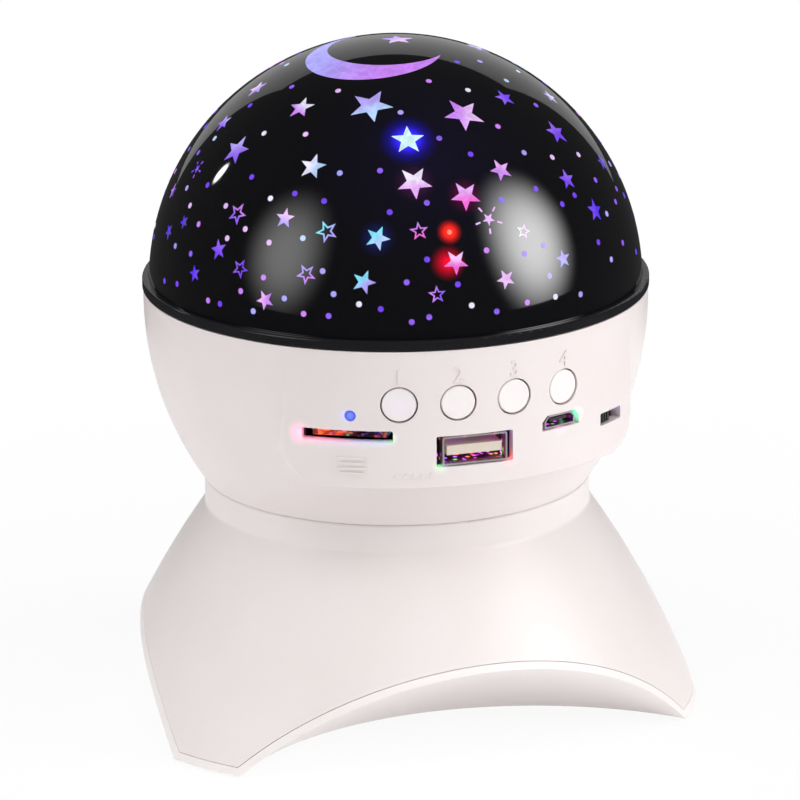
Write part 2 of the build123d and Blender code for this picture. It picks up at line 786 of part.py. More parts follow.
def make_star_mask():
    foot = turntable_top + dome_foot_height + seam_gap
    mask = (ball(dome_radius) & above(foot)) - ball(dome_radius - mask_thickness)
    windows = []
    for angle, elevation, size, turned_by in front_stars + back_stars():
        star = facing(angle, elevation) * star_outline(size, turned_by)
        windows.append(extrude(star, window_depth))
    moon = Circle(moon_radius) - Pos(0, moon_bite_shift) * Circle(moon_bite_radius)
    windows.append(extrude(facing(moon_angle, moon_elevation) * moon, window_depth))
    return mask - windows


def make_dome_shell():
    dome = (ball(dome_outside) & above(turntable_top)) - ball(dome_inside)
    foot = disc(dome_outside + dome_foot_width, turntable_top, turntable_top + dome_foot_height)
    return dome + (foot - ball(dome_outside - dome_wall / 2))


def make_dome_bezel():
    inner = dome_outside + dome_foot_width + seam_gap
    lip = dome_radius + seam_gap
    step = turntable_top + dome_foot_height + seam_gap
    top = turntable_top + bezel_height
    outline = [(inner, turntable_top), (rim_radius, turntable_top), (rim_radius, top), (lip, top)]
    outline += [(lip, step), (inner, step)]
    bezel = turned(*outline)
    return fillet(bezel.edges().group_by(Axis.Z)[-1].sort_by(lambda e: e.radius)[-1], bezel_height * 0.4)


# ---------------------------------------------------------------- lamp board
def make_lamp_post():
    flange_top = post_low + post_flange_thickness
    column = disc(post_flange_radius, post_low, flange_top)
    column += disc(post_radius, post_low, lamp_board_low)
    column += disc(lamp_board_radius - wall, lamp_board_low - post_flange_thickness, lamp_board_low)
    column -= disc(post_bore_radius, post_low, lamp_board_low)
    column -= around(post(0, -post_screw_place, hole_radius, post_low, flange_top), arch_angles)
    return column


def make_post_screws():
    one = Pos(0, -post_screw_place, post_low + post_flange_thickness) * screw(hub_top - deck_top)
    return Compound(children=around(one, arch_angles))


def make_lamp_board():
    return disc(lamp_board_radius, lamp_board_low, lamp_board_low + lamp_board_thickness)


def make_lamp_chip(x_side, y_side):
    seat = lamp_board_low + lamp_board_thickness
    chip = Box(lamp_chip, lamp_chip, lamp_chip_height, align=UP)
    chip += Pos(0, 0, lamp_chip_height) * (Sphere(lamp_lens_radius) & above(0))
    return Pos(x_side * lamp_spacing / 2, y_side * lamp_spacing / 2, seat) * chip


# ---------------------------------------------------------------- main board and what it carries
def make_main_board():
    """Most of a round board, cut off behind the sockets, with a tab under the lamp's leads."""
    back_half = Pos(0, FAR / 2 - board_back_edge) * Rectangle(FAR, FAR)
    tab = Pos(0, board_tab_back - board_tab_length / 2) * Rectangle(board_tab_width, board_tab_length)
    face = Circle(board_radius) - back_half + tab
    board = Pos(0, 0, board_height) * extrude(face, board_thickness)
    board -= [post(x, y, hole_radius, board_height, board_top) for x, y in board_screw_places]
    notch = post(0, -deck_screw_place, boss_radius + running_gap, board_height, board_top)
    return board - around(notch, deck_screw_angles)


def make_board_screws():
    places = [Pos(x, y, board_top) for x, y in board_screw_places]
    return Compound(children=[place * screw(board_screw_length) for place in places])


def key_switch():
    tall = key_switch_top - board_top
    body = bar(key_switch_width, tall, key_front - key_switch_depth, key_front, button_height)
    bore_end = stem_tip - button_travel - 2 * running_gap
    return body - peg(button_stem_radius + loose_gap, bore_end, key_front, button_height)


def make_key_switches():
    return Compound(children=around(key_switch(), button_angles))


def make_button(angle):
    """A cap with a flange behind the panel's wall and a stem that works its key switch."""
    cap = peg(button_radius, flange_back, cap_face, button_height)
    cap = fillet(cap.edges().sort_by(Axis.Y)[0], button_edge)
    cap += peg(button_radius + button_flange, flange_back, flange_front, button_height)
    cap += peg(button_stem_radius, stem_tip, flange_back, button_height)
    return at_angle(cap, angle)


def make_usb_shell():
    start = socket_face - usb_shell_depth
    shell = bar(usb_shell_width, usb_shell_height, start, socket_face, usb_opening_middle)
    shell = fillet(shell.edges().filter_by(Axis.Y), usb_sheet)
    inner_width, inner_height = usb_shell_width - 2 * usb_sheet, usb_shell_height - 2 * usb_sheet
    shell -= bar(inner_width, inner_height, start + usb_sheet, socket_face, usb_opening_middle)
    leg_low = usb_opening_middle + usb_shell_height / 2 - usb_sheet / 2
    leg = Box(usb_sheet, usb_leg_length, board_height - leg_low, align=UP)
    for side in (-1, 1):
        x = side * (usb_shell_width / 2 - 2 * usb_sheet)
        shell += Pos(x, -(start + board_radius) / 2, leg_low) * leg
    return at_angle(shell, usb_angle)


def make_usb_tongue():
    start = socket_face - usb_shell_depth + usb_sheet
    fit = 2 * usb_sheet + seam_gap
    width, tall = usb_shell_width - fit, usb_shell_height - fit
    block = bar(width, tall, start, start + usb_block_length, usb_opening_middle)
    end = socket_face - socket_sink
    tongue = bar(usb_tongue_width, usb_tongue_thickness, start, end, usb_opening_middle)
    return at_angle(block + tongue, usb_angle)


def make_charge_shell():
    start, sheet = socket_face - charge_shell_depth, 2 * charge_sheet
    shell = charge_bar(charge_shell_width, charge_shell_height, start, socket_face)
    width, tall = charge_shell_width - sheet, charge_shell_height - sheet
    shell -= charge_bar(width, tall, start + charge_sheet, socket_face)
    return at_angle(shell, charge_angle)


def make_charge_tongue():
    start, fit = socket_face - charge_shell_depth + charge_sheet, 2 * charge_sheet + seam_gap
    width, tall = charge_shell_width - fit, charge_shell_height - fit
    block = charge_bar(width, tall, start, start + charge_block_length)
    end = socket_face - socket_sink
    height = charge_opening_middle + charge_tongue_thickness / 3
    tongue = bar(charge_tongue_width, charge_tongue_thickness, start, end, height)
    return at_angle(block + tongue, charge_angle)


def make_card_socket():
    low = card_slot_middle - card_thickness / 2 - card_socket_sheet
    tall, start = board_height - low, socket_front - card_socket_depth
    body = bar(card_socket_width, tall, start, socket_front, low + tall / 2)
    room_start = start + card_socket_sheet * 4
    body -= bar(card_width, card_thickness, room_start, socket_front, card_slot_middle)
    return at_angle(body, card_angle)


def make_indicator_light():
    start, end = board_radius - running_gap, panel_radius - seam_gap
    return at_angle(peg(indicator_radius, start, end, indicator_height), indicator_angle)


def make_switch_housing():
    low = switch_slot_middle - switch_body_below
    tall, start = board_height - low, socket_front - switch_body_depth
    body = bar(switch_body_width, tall, start, socket_front, low + tall / 2)
    width = switch_travel + switch_stem_width + 2 * running_gap
    slot_start = socket_front - switch_stem_length - running_gap
    stem_room = switch_stem_height + 2 * running_gap
    slot = bar(width, stem_room, slot_start, socket_front, switch_slot_middle)
    return at_angle(body - Pos(switch_rest + switch_travel / 2, 0, 0) * slot, switch_angle)


def make_switch_knob():
    tall, back = switch_slot_height - 2 * running_gap, socket_front + running_gap
    knob = bar(switch_knob_width, tall, back, panel_radius - switch_knob_sink, switch_slot_middle)
    groove_start = panel_radius - switch_knob_sink - switch_groove
    groove = bar(switch_groove, tall, groove_start, panel_radius, switch_slot_middle)
    for number in (-1, 0, 1):
        knob -= Pos(number * switch_knob_width / 4, 0, 0) * groove
    stem_start = socket_front - switch_stem_length
    knob += bar(switch_stem_width, switch_stem_height, stem_start, back, switch_slot_middle)
    return at_angle(Pos(switch_rest, 0, 0) * knob, switch_angle)


# ---------------------------------------------------------------- speaker
def speaker_turned(*outline):
    """A solid turned about the speaker's axis from (radius, distance from the lamp's axis) points."""
    face = Plane.XY * make_face(Polyline(*outline, close=True))
    solid = revolve(face, Axis.Y)
    return Pos(0, 0, speaker_height) * solid


def make_speaker_frame():
    """A rim with two ears, and a basket that narrows to the magnet, with four windows."""
    rim, sheet = speaker_seat - speaker_flange, speaker_sheet
    back = rim - speaker_basket_depth
    cup = speaker_magnet_radius + sheet
    outline = [(speaker_cone_radius, speaker_seat), (speaker_radius, speaker_seat)]
    outline += [(speaker_radius, rim), (speaker_cone_radius + sheet, rim), (cup + sheet, back)]
    outline += [(coil_hole_radius, back), (coil_hole_radius, back + sheet), (cup, back + sheet)]
    frame = speaker_turned(*outline, (speaker_cone_radius, rim))
    inner = speaker_cone_radius + sheet
    for side in (-1, 1):
        x = side * speaker_screw_place
        ear = back_peg(x, boss_radius, rim, speaker_seat, speaker_height)
        bridge = Box(speaker_screw_place - inner, speaker_flange, 2 * boss_radius)
        middle = (speaker_screw_place + inner) / 2
        ear += Pos(side * middle, speaker_seat - speaker_flange / 2, speaker_height) * bridge
        frame += ear - back_peg(x, hole_radius, rim, speaker_seat, speaker_height)
    window = Box(speaker_radius, speaker_basket_depth * 0.4, speaker_cone_radius * 0.6)
    for number in range(4):
        turn = Pos(0, back + speaker_basket_depth * 0.6, speaker_height) * Rot(0, 45 + 90 * number, 0)
        frame -= turn * Pos(speaker_radius, 0, 0) * window
    return frame


def make_speaker_cone():
    """A paper cone with a flat edge and a domed cap in the middle."""
    front, sheet = speaker_seat - seam_gap, cone_sheet
    edge = speaker_cone_radius - seam_gap
    corners = [(edge, 0), (edge - cone_edge, 0), (cap_radius, -cone_depth)]
    corners += [(cap_radius / 2, cap_height * 0.75 - cone_depth), (0, cap_height - cone_depth)]
    outline = [(radius, front + place) for radius, place in corners]
    outline += [(radius, front + place - sheet) for radius, place in reversed(corners)]
    return speaker_turned(*outline)


def make_speaker_magnet():
    front = speaker_seat - speaker_flange - speaker_basket_depth
    start = front - speaker_magnet_depth
    magnet = back_peg(0, speaker_magnet_radius, start, front, speaker_height)
    return fillet(magnet.edges(), speaker_sheet / 2)


def make_speaker_screws():
    seat = speaker_seat - speaker_flange
    turn = Rot(90, 0, 0) * screw(speaker_screw_length)
    places = [Pos(side * speaker_screw_place, seat, speaker_height) for side in (-1, 1)]
    return Compound(children=[place * turn for place in places])


# ---------------------------------------------------------------- leads
def make_lamp_leads():
    sides = (-lead_spacing / 2, lead_spacing / 2)
    return Compound(children=[post(x, 0, lead_radius, board_top, lamp_board_low) for x in sides])


def make_battery_leads():
    """Out through the sleeve on the cell's top, and straight up to the main board."""
    start, rise = cell_axis_height + cell_radius + seam_gap, cable_hole_radius / 2
    sides = (-lead_spacing / 2, lead_spacing / 2)
    return Compound(children=[post(rise, y, lead_radius, start, board_height) for y in sides])


def make_motor_leads():
    """Out of the motor's side towards the panel, and down to the main board."""
    height = board_top + lead_bend
    start = -motor_place * cos(radians(motor_angle)) - motor_radius - seam_gap
    reach = start - 2 * lead_bend
    first = motor_place * sin(radians(motor_angle)) + lead_spacing * 0.7
    routes = []
    for x in (first, first + lead_spacing * 0.7):
        routes.append([(x, start, height), (x, reach, height), (x, reach, board_top)])
    return lead_pair(routes, lead_bend * 0.7)


def make_speaker_leads():
    """From the basket's lower edge, forwards under the magnet, and up to the main board's tab."""
    low = speaker_height - speaker_magnet_radius - 2 * lead_radius
    start = speaker_seat - speaker_flange - speaker_basket_depth
    turn, end = start - 2 * speaker_magnet_depth, board_tab_back / 2
    first = -board_tab_width / 2 + 2 * lead_radius
    routes = []
    for x in (first, first + lead_spacing * 0.7):
        route = [(x, start, low), (x, turn, low), (x, end, low + lead_bend)]
        routes.append(route + [(x, end, board_height)])
    return lead_pair(routes, [lead_bend, lead_bend])


# ---------------------------------------------------------------- the lamp
def make_all():
    pieces = {
        "base_shell": make_base_shell(),
        "bottom_cover": make_bottom_cover(),
        "foot_pads": make_foot_pads(),
        "cover_screws": make_cover_screws(),
        "battery_cell": make_battery_cell(),
        "battery_strap": make_battery_strap(),
        "strap_screws": make_strap_screws(),
        "bowl_housing": make_bowl(),
        "bowl_screws": make_bowl_screws(),
        "deck_plate": make_deck_plate(),
        "deck_screws": make_deck_screws(),
        "turntable": make_turntable(),
        "drive_pinion": make_drive_pinion(),
        "motor_shaft": make_motor_shaft(),
        "drive_motor": make_drive_motor(),
        "motor_screws": make_motor_screws(),
        "dome_shell": make_dome_shell(),
        "star_mask": make_star_mask(),
        "dome_bezel": make_dome_bezel(),
        "lamp_post": make_lamp_post(),
        "post_screws": make_post_screws(),
        "lamp_board": make_lamp_board(),
        "red_lamp": make_lamp_chip(-1, -1),
        "green_lamp": make_lamp_chip(1, -1),
        "blue_lamp": make_lamp_chip(1, 1),
        "white_lamp": make_lamp_chip(-1, 1),
        "main_board": make_main_board(),
        "board_screws": make_board_screws(),
        "key_switches": make_key_switches(),
        "usb_socket_shell": make_usb_shell(),
        "usb_socket_tongue": make_usb_tongue(),
        "charge_socket_shell": make_charge_shell(),
        "charge_socket_tongue": make_charge_tongue(),
        "card_socket": make_card_socket(),
        "indicator_light": make_indicator_light(),
        "switch_housing": make_switch_housing(),
        "switch_knob": make_switch_knob(),
        "speaker_frame": make_speaker_frame(),
        "speaker_cone": make_speaker_cone(),
        "speaker_magnet": make_speaker_magnet(),
        "speaker_screws": make_speaker_screws(),
        "lamp_leads": make_lamp_leads(),
        "battery_leads": make_battery_leads(),
        "motor_leads": make_motor_leads(),
        "speaker_leads": make_speaker_leads(),
    }
    for label, angle in zip(button_labels, button_angles):
        pieces[f"button_{label}"] = make_button(angle)
    return pieces


os.makedirs("parts", exist_ok=True)
for name, piece in make_all().items():
    export_step(piece, f"parts/{name}.step")
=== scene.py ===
import math
import random

import bmesh
import bpy
from mathutils import Matrix, Vector
from mathutils.bvhtree import BVHTree


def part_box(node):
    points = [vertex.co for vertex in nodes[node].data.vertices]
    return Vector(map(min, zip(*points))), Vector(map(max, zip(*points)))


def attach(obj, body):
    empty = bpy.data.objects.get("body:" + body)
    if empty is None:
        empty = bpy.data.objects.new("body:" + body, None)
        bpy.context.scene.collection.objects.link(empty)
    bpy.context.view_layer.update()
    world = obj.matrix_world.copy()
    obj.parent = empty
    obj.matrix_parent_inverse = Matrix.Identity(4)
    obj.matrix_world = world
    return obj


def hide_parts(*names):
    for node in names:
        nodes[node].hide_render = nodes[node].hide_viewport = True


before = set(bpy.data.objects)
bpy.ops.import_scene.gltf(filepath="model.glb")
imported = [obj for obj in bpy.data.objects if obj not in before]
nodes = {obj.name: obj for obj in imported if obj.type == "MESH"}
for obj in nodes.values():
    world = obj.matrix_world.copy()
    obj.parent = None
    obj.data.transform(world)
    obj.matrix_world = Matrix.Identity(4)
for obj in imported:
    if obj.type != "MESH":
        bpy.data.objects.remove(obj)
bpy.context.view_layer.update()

# ---------------------------------------------------------------- camera
# The lamp is looked at from a little to its left and above, with a long lens.
# Angles are degrees about the lamp's axis, 0 at the front, where the control panel is.
CAMERA_ANGLE = -20.588
CAMERA_ELEVATION = 16.515
CAMERA_ROLL = -0.4016
CAMERA_DISTANCE = 1.51069
CAMERA_LENS = 342.95
CAMERA_AIM = (0.000692, 0.061556)  # to the right of the axis, and above the table


def direction(angle, elevation):
    """The way out from the lamp's axis at an angle round it and an elevation, both in degrees."""
    turn, rise = math.radians(angle), math.radians(elevation)
    flat = math.cos(rise)
    return Vector((math.sin(turn) * flat, -math.cos(turn) * flat, math.sin(rise)))


def look_along(back, roll=0.0):
    """The rotation of a camera or lamp whose own +Z points back, as a 3x3 matrix."""
    right = (-back).cross(Vector((0, 0, 1))).normalized()
    up = right.cross(-back)
    turned = Matrix.Rotation(math.radians(roll), 3, back)
    return Matrix((turned @ right, turned @ up, back)).transposed()


camera_back = direction(CAMERA_ANGLE, CAMERA_ELEVATION)
camera_right = look_along(camera_back).col[0]
camera = bpy.data.objects.new("camera", bpy.data.cameras.new("camera"))
camera.data.lens = CAMERA_LENS
camera.data.sensor_width = 36.0
camera.data.clip_start = 0.1
camera.data.clip_end = 50.0
camera_place = CAMERA_AIM[0] * camera_right + Vector((0, 0, CAMERA_AIM[1])) + CAMERA_DISTANCE * camera_back
camera.matrix_world = Matrix.Translation(camera_place) @ look_along(camera_back, CAMERA_ROLL).to_4x4()
bpy.context.scene.collection.objects.link(camera)
bpy.context.scene.camera = camera
bpy.context.scene.view_settings.view_transform = "Standard"

# ---------------------------------------------------------------- tabletop, wall and lamps
# A pale tabletop and a pale wall behind it, a large soft lamp at each front side, and one overhead.
# They aren't part of the object. The wall and the side lamps are what its polished dome mirrors.
TABLE_RADIUS = 4.0
TABLE_WHITE = (0.92, 0.92, 0.92)
SHADOW_START, SHADOW_END = 0.09, 0.24  # from the axis: the table's shade shows most near the feet
CLOTH_INSIDE, CLOTH_OUTSIDE = 0.26, 4.2
CLOTH_HEIGHT = 0.002
WALL_ANGLE = 159.4
WALL_DISTANCE = 3.2
WALL_HALF_WIDTH = 29.0  # degrees, as seen from the axis
WALL_TOP = 36.0
WALL_GREY = (0.80, 0.80, 0.80)
WALL_SHINE = 0.22
AIR = 0.035  # how bright the empty room looks
LAMP_DISTANCE = 1.3


def wire(tree, kind, inputs=None, **settings):
    """Adds a node, sets its properties, and sets or links its inputs by name."""
    node = tree.nodes.new(kind)
    for name, value in settings.items():
        setattr(node, name, value)
    for socket, value in (inputs or {}).items():
        if isinstance(value, bpy.types.NodeSocket):
            tree.links.new(value, node.inputs[socket])
        else:
            node.inputs[socket].default_value = value
    return node


def paper(name, colour, near, far):
    """A matt white material. Its share of plain white, for eyes and mirrors, changes with distance."""
    made = bpy.data.materials.new(name)
    made.use_nodes = True
    tree = made.node_tree
    tree.nodes.clear()
    rays = wire(tree, "ShaderNodeLightPath").outputs
    seen = rays["Is Camera Ray"]
    for other in ("Is Glossy Ray", "Is Transmission Ray"):
        seen = wire(tree, "ShaderNodeMath", {0: seen, 1: rays[other]}, operation="MAXIMUM").outputs[0]
    place = wire(tree, "ShaderNodeTexCoord").outputs["Object"]
    away = wire(tree, "ShaderNodeVectorMath", {0: place}, operation="LENGTH").outputs["Value"]
    glow = wire(tree, "ShaderNodeMapRange", {0: away, 1: SHADOW_START, 2: SHADOW_END, 3: near, 4: far})
    share = wire(tree, "ShaderNodeMath", {0: seen, 1: glow.outputs[0]}, operation="MULTIPLY")
    matt = wire(tree, "ShaderNodeBsdfDiffuse", {"Color": (*colour, 1)})
    light = wire(tree, "ShaderNodeEmission", {"Color": (1, 1, 1, 1), "Strength": 1.0})
    mixed = wire(tree, "ShaderNodeMixShader", {0: share.outputs[0], 1: matt.outputs[0], 2: light.outputs[0]})
    wire(tree, "ShaderNodeOutputMaterial", {"Surface": mixed.outputs[0]})
    return made


def piece(name, mesh, finish, body=None):
    """Links a bmesh into the scene as an object with its material, riding on a body if one is named."""
    data = bpy.data.meshes.new(name)
    mesh.to_mesh(data)
    mesh.free()
    made = bpy.data.objects.new(name, data)
    bpy.context.scene.collection.objects.link(made)
    data.materials.append(finish)
    if body:
        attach(made, body)
    return made


mesh = bmesh.new()
bmesh.ops.create_circle(mesh, cap_ends=True, segments=128, radius=TABLE_RADIUS)
table = piece("tabletop", mesh, paper("table_white", TABLE_WHITE, 0.9, 1.0))

wall_back = direction(WALL_ANGLE, 0)
wall_side = 2 * WALL_DISTANCE * math.tan(math.radians(WALL_HALF_WIDTH))
wall_height = WALL_DISTANCE * math.tan(math.radians(WALL_TOP))
mesh = bmesh.new()
bmesh.ops.create_grid(mesh, x_segments=1, y_segments=1, size=0.5)
stand = Matrix.Rotation(math.radians(WALL_ANGLE), 4, "Z") @ Matrix.Rotation(math.radians(-90), 4, "X")
bmesh.ops.scale(mesh, vec=(wall_side, wall_height, 1), verts=mesh.verts)
bmesh.ops.transform(mesh, matrix=stand, verts=mesh.verts)
bmesh.ops.translate(mesh, vec=wall_back * WALL_DISTANCE + Vector((0, 0, wall_height / 2)), verts=mesh.verts)
wall = piece("wall", mesh, paper("wall_white", WALL_GREY, WALL_SHINE, WALL_SHINE))

mesh = bmesh.new()
bmesh.ops.create_circle(mesh, segments=64, radius=CLOTH_INSIDE)
edge = bmesh.ops.extrude_edge_only(mesh, edges=mesh.edges[:])["geom"]
grow = CLOTH_OUTSIDE / CLOTH_INSIDE
outside = [part for part in edge if isinstance(part, bmesh.types.BMVert)]
bmesh.ops.scale(mesh, vec=(grow, grow, 1), verts=outside)
bmesh.ops.translate(mesh, vec=(0, 0, CLOTH_HEIGHT), verts=mesh.verts)
made = bpy.data.materials.new("black_cloth")
made.use_nodes = True
made.node_tree.nodes.clear()
cloth_black = wire(made.node_tree, "ShaderNodeEmission", {"Color": (1, 1, 1, 1), "Strength": AIR})
wire(made.node_tree, "ShaderNodeOutputMaterial", {"Surface": cloth_black.outputs[0]})
cloth = piece("black_cloth", mesh, made)
cloth.visible_camera = cloth.visible_diffuse = cloth.visible_transmission = cloth.visible_shadow = False

world = bpy.data.worlds.new("room")
bpy.context.scene.world = world
world.use_nodes = True
tree = world.node_tree
tree.nodes.clear()
air = wire(tree, "ShaderNodeBackground", {"Color": (1, 1, 1, 1), "Strength": AIR})
wire(tree, "ShaderNodeOutputWorld", {"Surface": air.outputs[0]})


def soft_lamp(name, angle, elevation, distance, size, watts, full=1.0, aim=(0, 0, 0.07)):
    """A round or oval lamp with a cloth front, full to a share of its half-width and dimmer to its edge."""
    made = bpy.data.lights.new(name, "AREA")
    made.shape = "ELLIPSE"
    made.size, made.size_y = size
    made.energy = watts
    made.use_nodes = True
    tree = made.node_tree
    if full < 1:
        place = wire(tree, "ShaderNodeNewGeometry").outputs["Parametric"]
        middle = wire(tree, "ShaderNodeVectorMath", {0: place, 1: (0.5, 0.5, 0)}, operation="DISTANCE")
        fade = wire(
            tree, "ShaderNodeMapRange", {0: middle.outputs["Value"], 1: full / 2, 2: 0.5, 3: 1.0, 4: 0.0},
            interpolation_type="SMOOTHERSTEP",
        )
        tree.links.new(fade.outputs[0], tree.nodes["Emission"].inputs["Strength"])
    back = direction(angle, elevation)
    lamp = bpy.data.objects.new(name, made)
    lamp.matrix_world = Matrix.Translation(Vector(aim) + back * distance) @ look_along(back).to_4x4()
    lamp.visible_camera = False
    bpy.context.scene.collection.objects.link(lamp)
    return lamp


# The first three show as soft patches on the dome. The others only light the object.
soft_lamp("right_lamp", 50, 20, LAMP_DISTANCE, (1.36, 1.70), 44, full=0.0)
soft_lamp("left_lamp", -76, 21, LAMP_DISTANCE, (1.22, 1.60), 9, full=0.0)
soft_lamp("back_lamp", -139.5, 23.8, LAMP_DISTANCE, (0.10, 0.20), 0.7, full=0.4)
soft_lamp("left_fill", -98, 35, 1.4, (1.4, 1.4), 7.5).visible_glossy = False
soft_lamp("overhead_lamp", -15, 68, 1.9, (1.8, 1.8), 20).visible_glossy = False
soft_lamp("table_bounce", 0, -89.9, 0.085, (0.9, 0.9), 0.5, aim=(0, 0, 0.0852)).visible_glossy = False

# ---------------------------------------------------------------- base
# A white ABS skirt on three feet, hollowed out between them, with a collar for the bowl on top.
# A cover of the same plastic lines the hollows, and screws hold the two together from below.
MM = 0.001
PLASTIC_IOR = 1.5
BASE_WHITE, BASE_SHADE = (0.800, 0.745, 0.735), (0.765, 0.705, 0.690)
# The cover's two tones are lighter than the base's, though it is the same plastic: painted light, to brighten the
# shaded hollows under the skirt.
COVER_WHITE_PAINTED_LIGHT, COVER_SHADE_PAINTED_LIGHT = (0.86, 0.81, 0.80), (0.82, 0.77, 0.76)


def new_group(name, inputs, outputs):
    """A shader node group with sockets of the given names and types."""
    group = bpy.data.node_groups.new(name, "ShaderNodeTree")
    for label, kind in inputs.items():
        group.interface.new_socket(label, in_out="INPUT", socket_type="NodeSocket" + kind)
    for label, kind in outputs.items():
        group.interface.new_socket(label, in_out="OUTPUT", socket_type="NodeSocket" + kind)
    return group, wire(group, "NodeGroupInput").outputs


def grain_group():
    """What a steel mould leaves on plastic: a fine grain, and a slow cloudiness in shade and gloss."""
    group, given = new_group(
        "moulding_grain",
        {"Place": "Vector", "Grain": "Float", "Cloud": "Float"},
        {"Height": "Float", "Shade": "Float"},
    )
    place = given["Place"]
    fine = wire(group, "ShaderNodeTexNoise", {"Vector": place, "Scale": given["Grain"], "Detail": 3.0})
    slow = wire(group, "ShaderNodeTexNoise", {"Vector": place, "Scale": given["Cloud"], "Detail": 4.0})
    spread = wire(group, "ShaderNodeMapRange", {0: slow.outputs["Fac"], 1: 0.3, 2: 0.7, 3: 0.0, 4: 1.0})
    wire(group, "NodeGroupOutput", {"Height": fine.outputs["Fac"], "Shade": spread.outputs[0]})
    return group


moulding_grain = grain_group()


def new_finish(name, **settings):
    """A material with a Principled shader. Plain settings are set on the shader's own sockets."""
    made = bpy.data.materials.new(name)
    made.use_nodes = True
    tree = made.node_tree
    shader = tree.nodes["Principled BSDF"]
    for socket, value in settings.items():
        shader.inputs[socket.replace("_", " ")].default_value = value
    place = wire(tree, "ShaderNodeTexCoord").outputs["Object"]
    return made, tree, shader, place


def colour_between(tree, shader, share, first, second, socket="Base Color"):
    """Feeds a shader a colour between two, by a mask. Either may be a colour or a socket."""
    inputs = {0: share, 6: first, 7: second}
    inputs = {key: (*value, 1) if isinstance(value, tuple) else value for key, value in inputs.items()}
    mixed = wire(tree, "ShaderNodeMix", inputs, data_type="RGBA").outputs[2]
    tree.links.new(mixed, shader.inputs[socket])


def vary_gloss(tree, shader, mask, low, high, start=0.0, end=1.0):
    """Takes a shader's roughness from low to high as a mask goes from start to end."""
    rough = wire(tree, "ShaderNodeMapRange", {0: mask, 1: start, 2: end, 3: low, 4: high})
    tree.links.new(rough.outputs[0], shader.inputs["Roughness"])


def add_relief(tree, shader, height, strength, depth):
    """Gives a surface a fine relief, its depth in mm."""
    bump = wire(tree, "ShaderNodeBump", {"Strength": strength, "Distance": depth * MM, "Height": height})
    tree.links.new(bump.outputs[0], shader.inputs["Normal"])


def moulded(name, colour, shade, gloss, grain=2600.0, depth=0.012, cloud=34.0):
    """Moulded plastic: two near shades clouded together, a slightly uneven gloss and a fine grain."""
    made, tree, shader, place = new_finish(name, IOR=PLASTIC_IOR)
    inputs = {"Place": place, "Grain": grain, "Cloud": cloud}
    marks = wire(tree, "ShaderNodeGroup", inputs, node_tree=moulding_grain).outputs
    colour_between(tree, shader, marks["Shade"], colour, shade)
    vary_gloss(tree, shader, marks["Shade"], gloss - 0.03, gloss + 0.04)
    add_relief(tree, shader, marks["Height"], 0.35, depth)
    return made, tree, shader, place


def dress(finish, *names):
    """Gives CAD nodes their finish."""
    for name in names:
        for holder in nodes[name].material_slots:
            holder.material = finish


dress(moulded("base_white", BASE_WHITE, BASE_SHADE, 0.38)[0], "base_shell")
dress(moulded("cover_white_painted_light", COVER_WHITE_PAINTED_LIGHT, COVER_SHADE_PAINTED_LIGHT, 0.45, depth=0.02)[0], "bottom_cover")

# ---------------------------------------------------------------- feet and screws
# Three soft pads pressed into recesses under the skirt's feet, so that the lamp doesn't slip.
# All the screws are one zinc-plated kind, turned and rolled, with a cross recess in the head.
PAD_GREY, PAD_SHADE = (0.53, 0.52, 0.49), (0.47, 0.46, 0.43)
ZINC, ZINC_DULL = (0.62, 0.64, 0.66), (0.50, 0.52, 0.55)
dress(moulded("pad_rubber", PAD_GREY, PAD_SHADE, 0.75, grain=1500.0, depth=0.03)[0], "foot_pads")


def streak_group():
    """Fine turning or brushing lines, drawn out along one direction by the place's scale."""
    group, given = new_group(
        "metal_streaks", {"Place": "Vector", "Stretch": "Vector"}, {"Line": "Float", "Stain": "Float"}
    )
    place = given["Place"]
    drawn = wire(group, "ShaderNodeVectorMath", {0: place, 1: given["Stretch"]}, operation="MULTIPLY")
    line = wire(group, "ShaderNodeTexNoise", {"Vector": drawn.outputs[0], "Scale": 1.0, "Detail": 5.0})
    stain = wire(group, "ShaderNodeTexNoise", {"Vector": place, "Scale": 220.0, "Detail": 3.0})
    wire(group, "NodeGroupOutput", {"Line": line.outputs["Fac"], "Stain": stain.outputs["Fac"]})
    return group


metal_streaks = streak_group()


def metal(name, colour, dull, gloss, stretch):
    """Bare or plated metal with its working lines and a little tarnish."""
    made, tree, shader, place = new_finish(name, Metallic=1.0)
    inputs = {"Place": place, "Stretch": stretch}
    marks = wire(tree, "ShaderNodeGroup", inputs, node_tree=metal_streaks).outputs
    colour_between(tree, shader, marks["Stain"], colour, dull)
    vary_gloss(tree, shader, marks["Line"], gloss - 0.06, gloss + 0.1, start=0.3, end=0.7)
    add_relief(tree, shader, marks["Line"], 0.2, 0.01)
    return made


zinc = metal("zinc_plate", ZINC, ZINC_DULL, 0.3, (900.0, 900.0, 9000.0))
dress(zinc, "cover_screws", "bowl_screws", "deck_screws", "board_screws", "strap_screws")
dress(zinc, "speaker_screws", "post_screws", "motor_screws")

# ---------------------------------------------------------------- battery
# A round lithium cell in printed shrink sleeve, lying in two saddles, held by a sprung steel strap.
# Two soft red leads go up to the main board.
SLEEVE_BLUE, SLEEVE_SHADE = (0.030, 0.120, 0.420), (0.024, 0.095, 0.360)
CAP_STEEL, CAP_LENGTH = (0.55, 0.55, 0.56), 0.9
STRAP_STEEL, STRAP_DULL = (0.60, 0.61, 0.62), (0.52, 0.53, 0.55)
LEAD_RED, LEAD_SHADE = (0.36, 0.022, 0.016), (0.31, 0.018, 0.014)
made, tree, shader, place = moulded("cell_sleeve", SLEEVE_BLUE, SLEEVE_SHADE, 0.28, grain=700.0, depth=0.03)
cell_low, cell_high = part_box("battery_cell")
cap_start = cell_high.x - CAP_LENGTH * MM
along = wire(tree, "ShaderNodeSeparateXYZ", {0: place}).outputs["X"]
cap = wire(tree, "ShaderNodeMath", {0: along, 1: cap_start}, operation="GREATER_THAN").outputs[0]
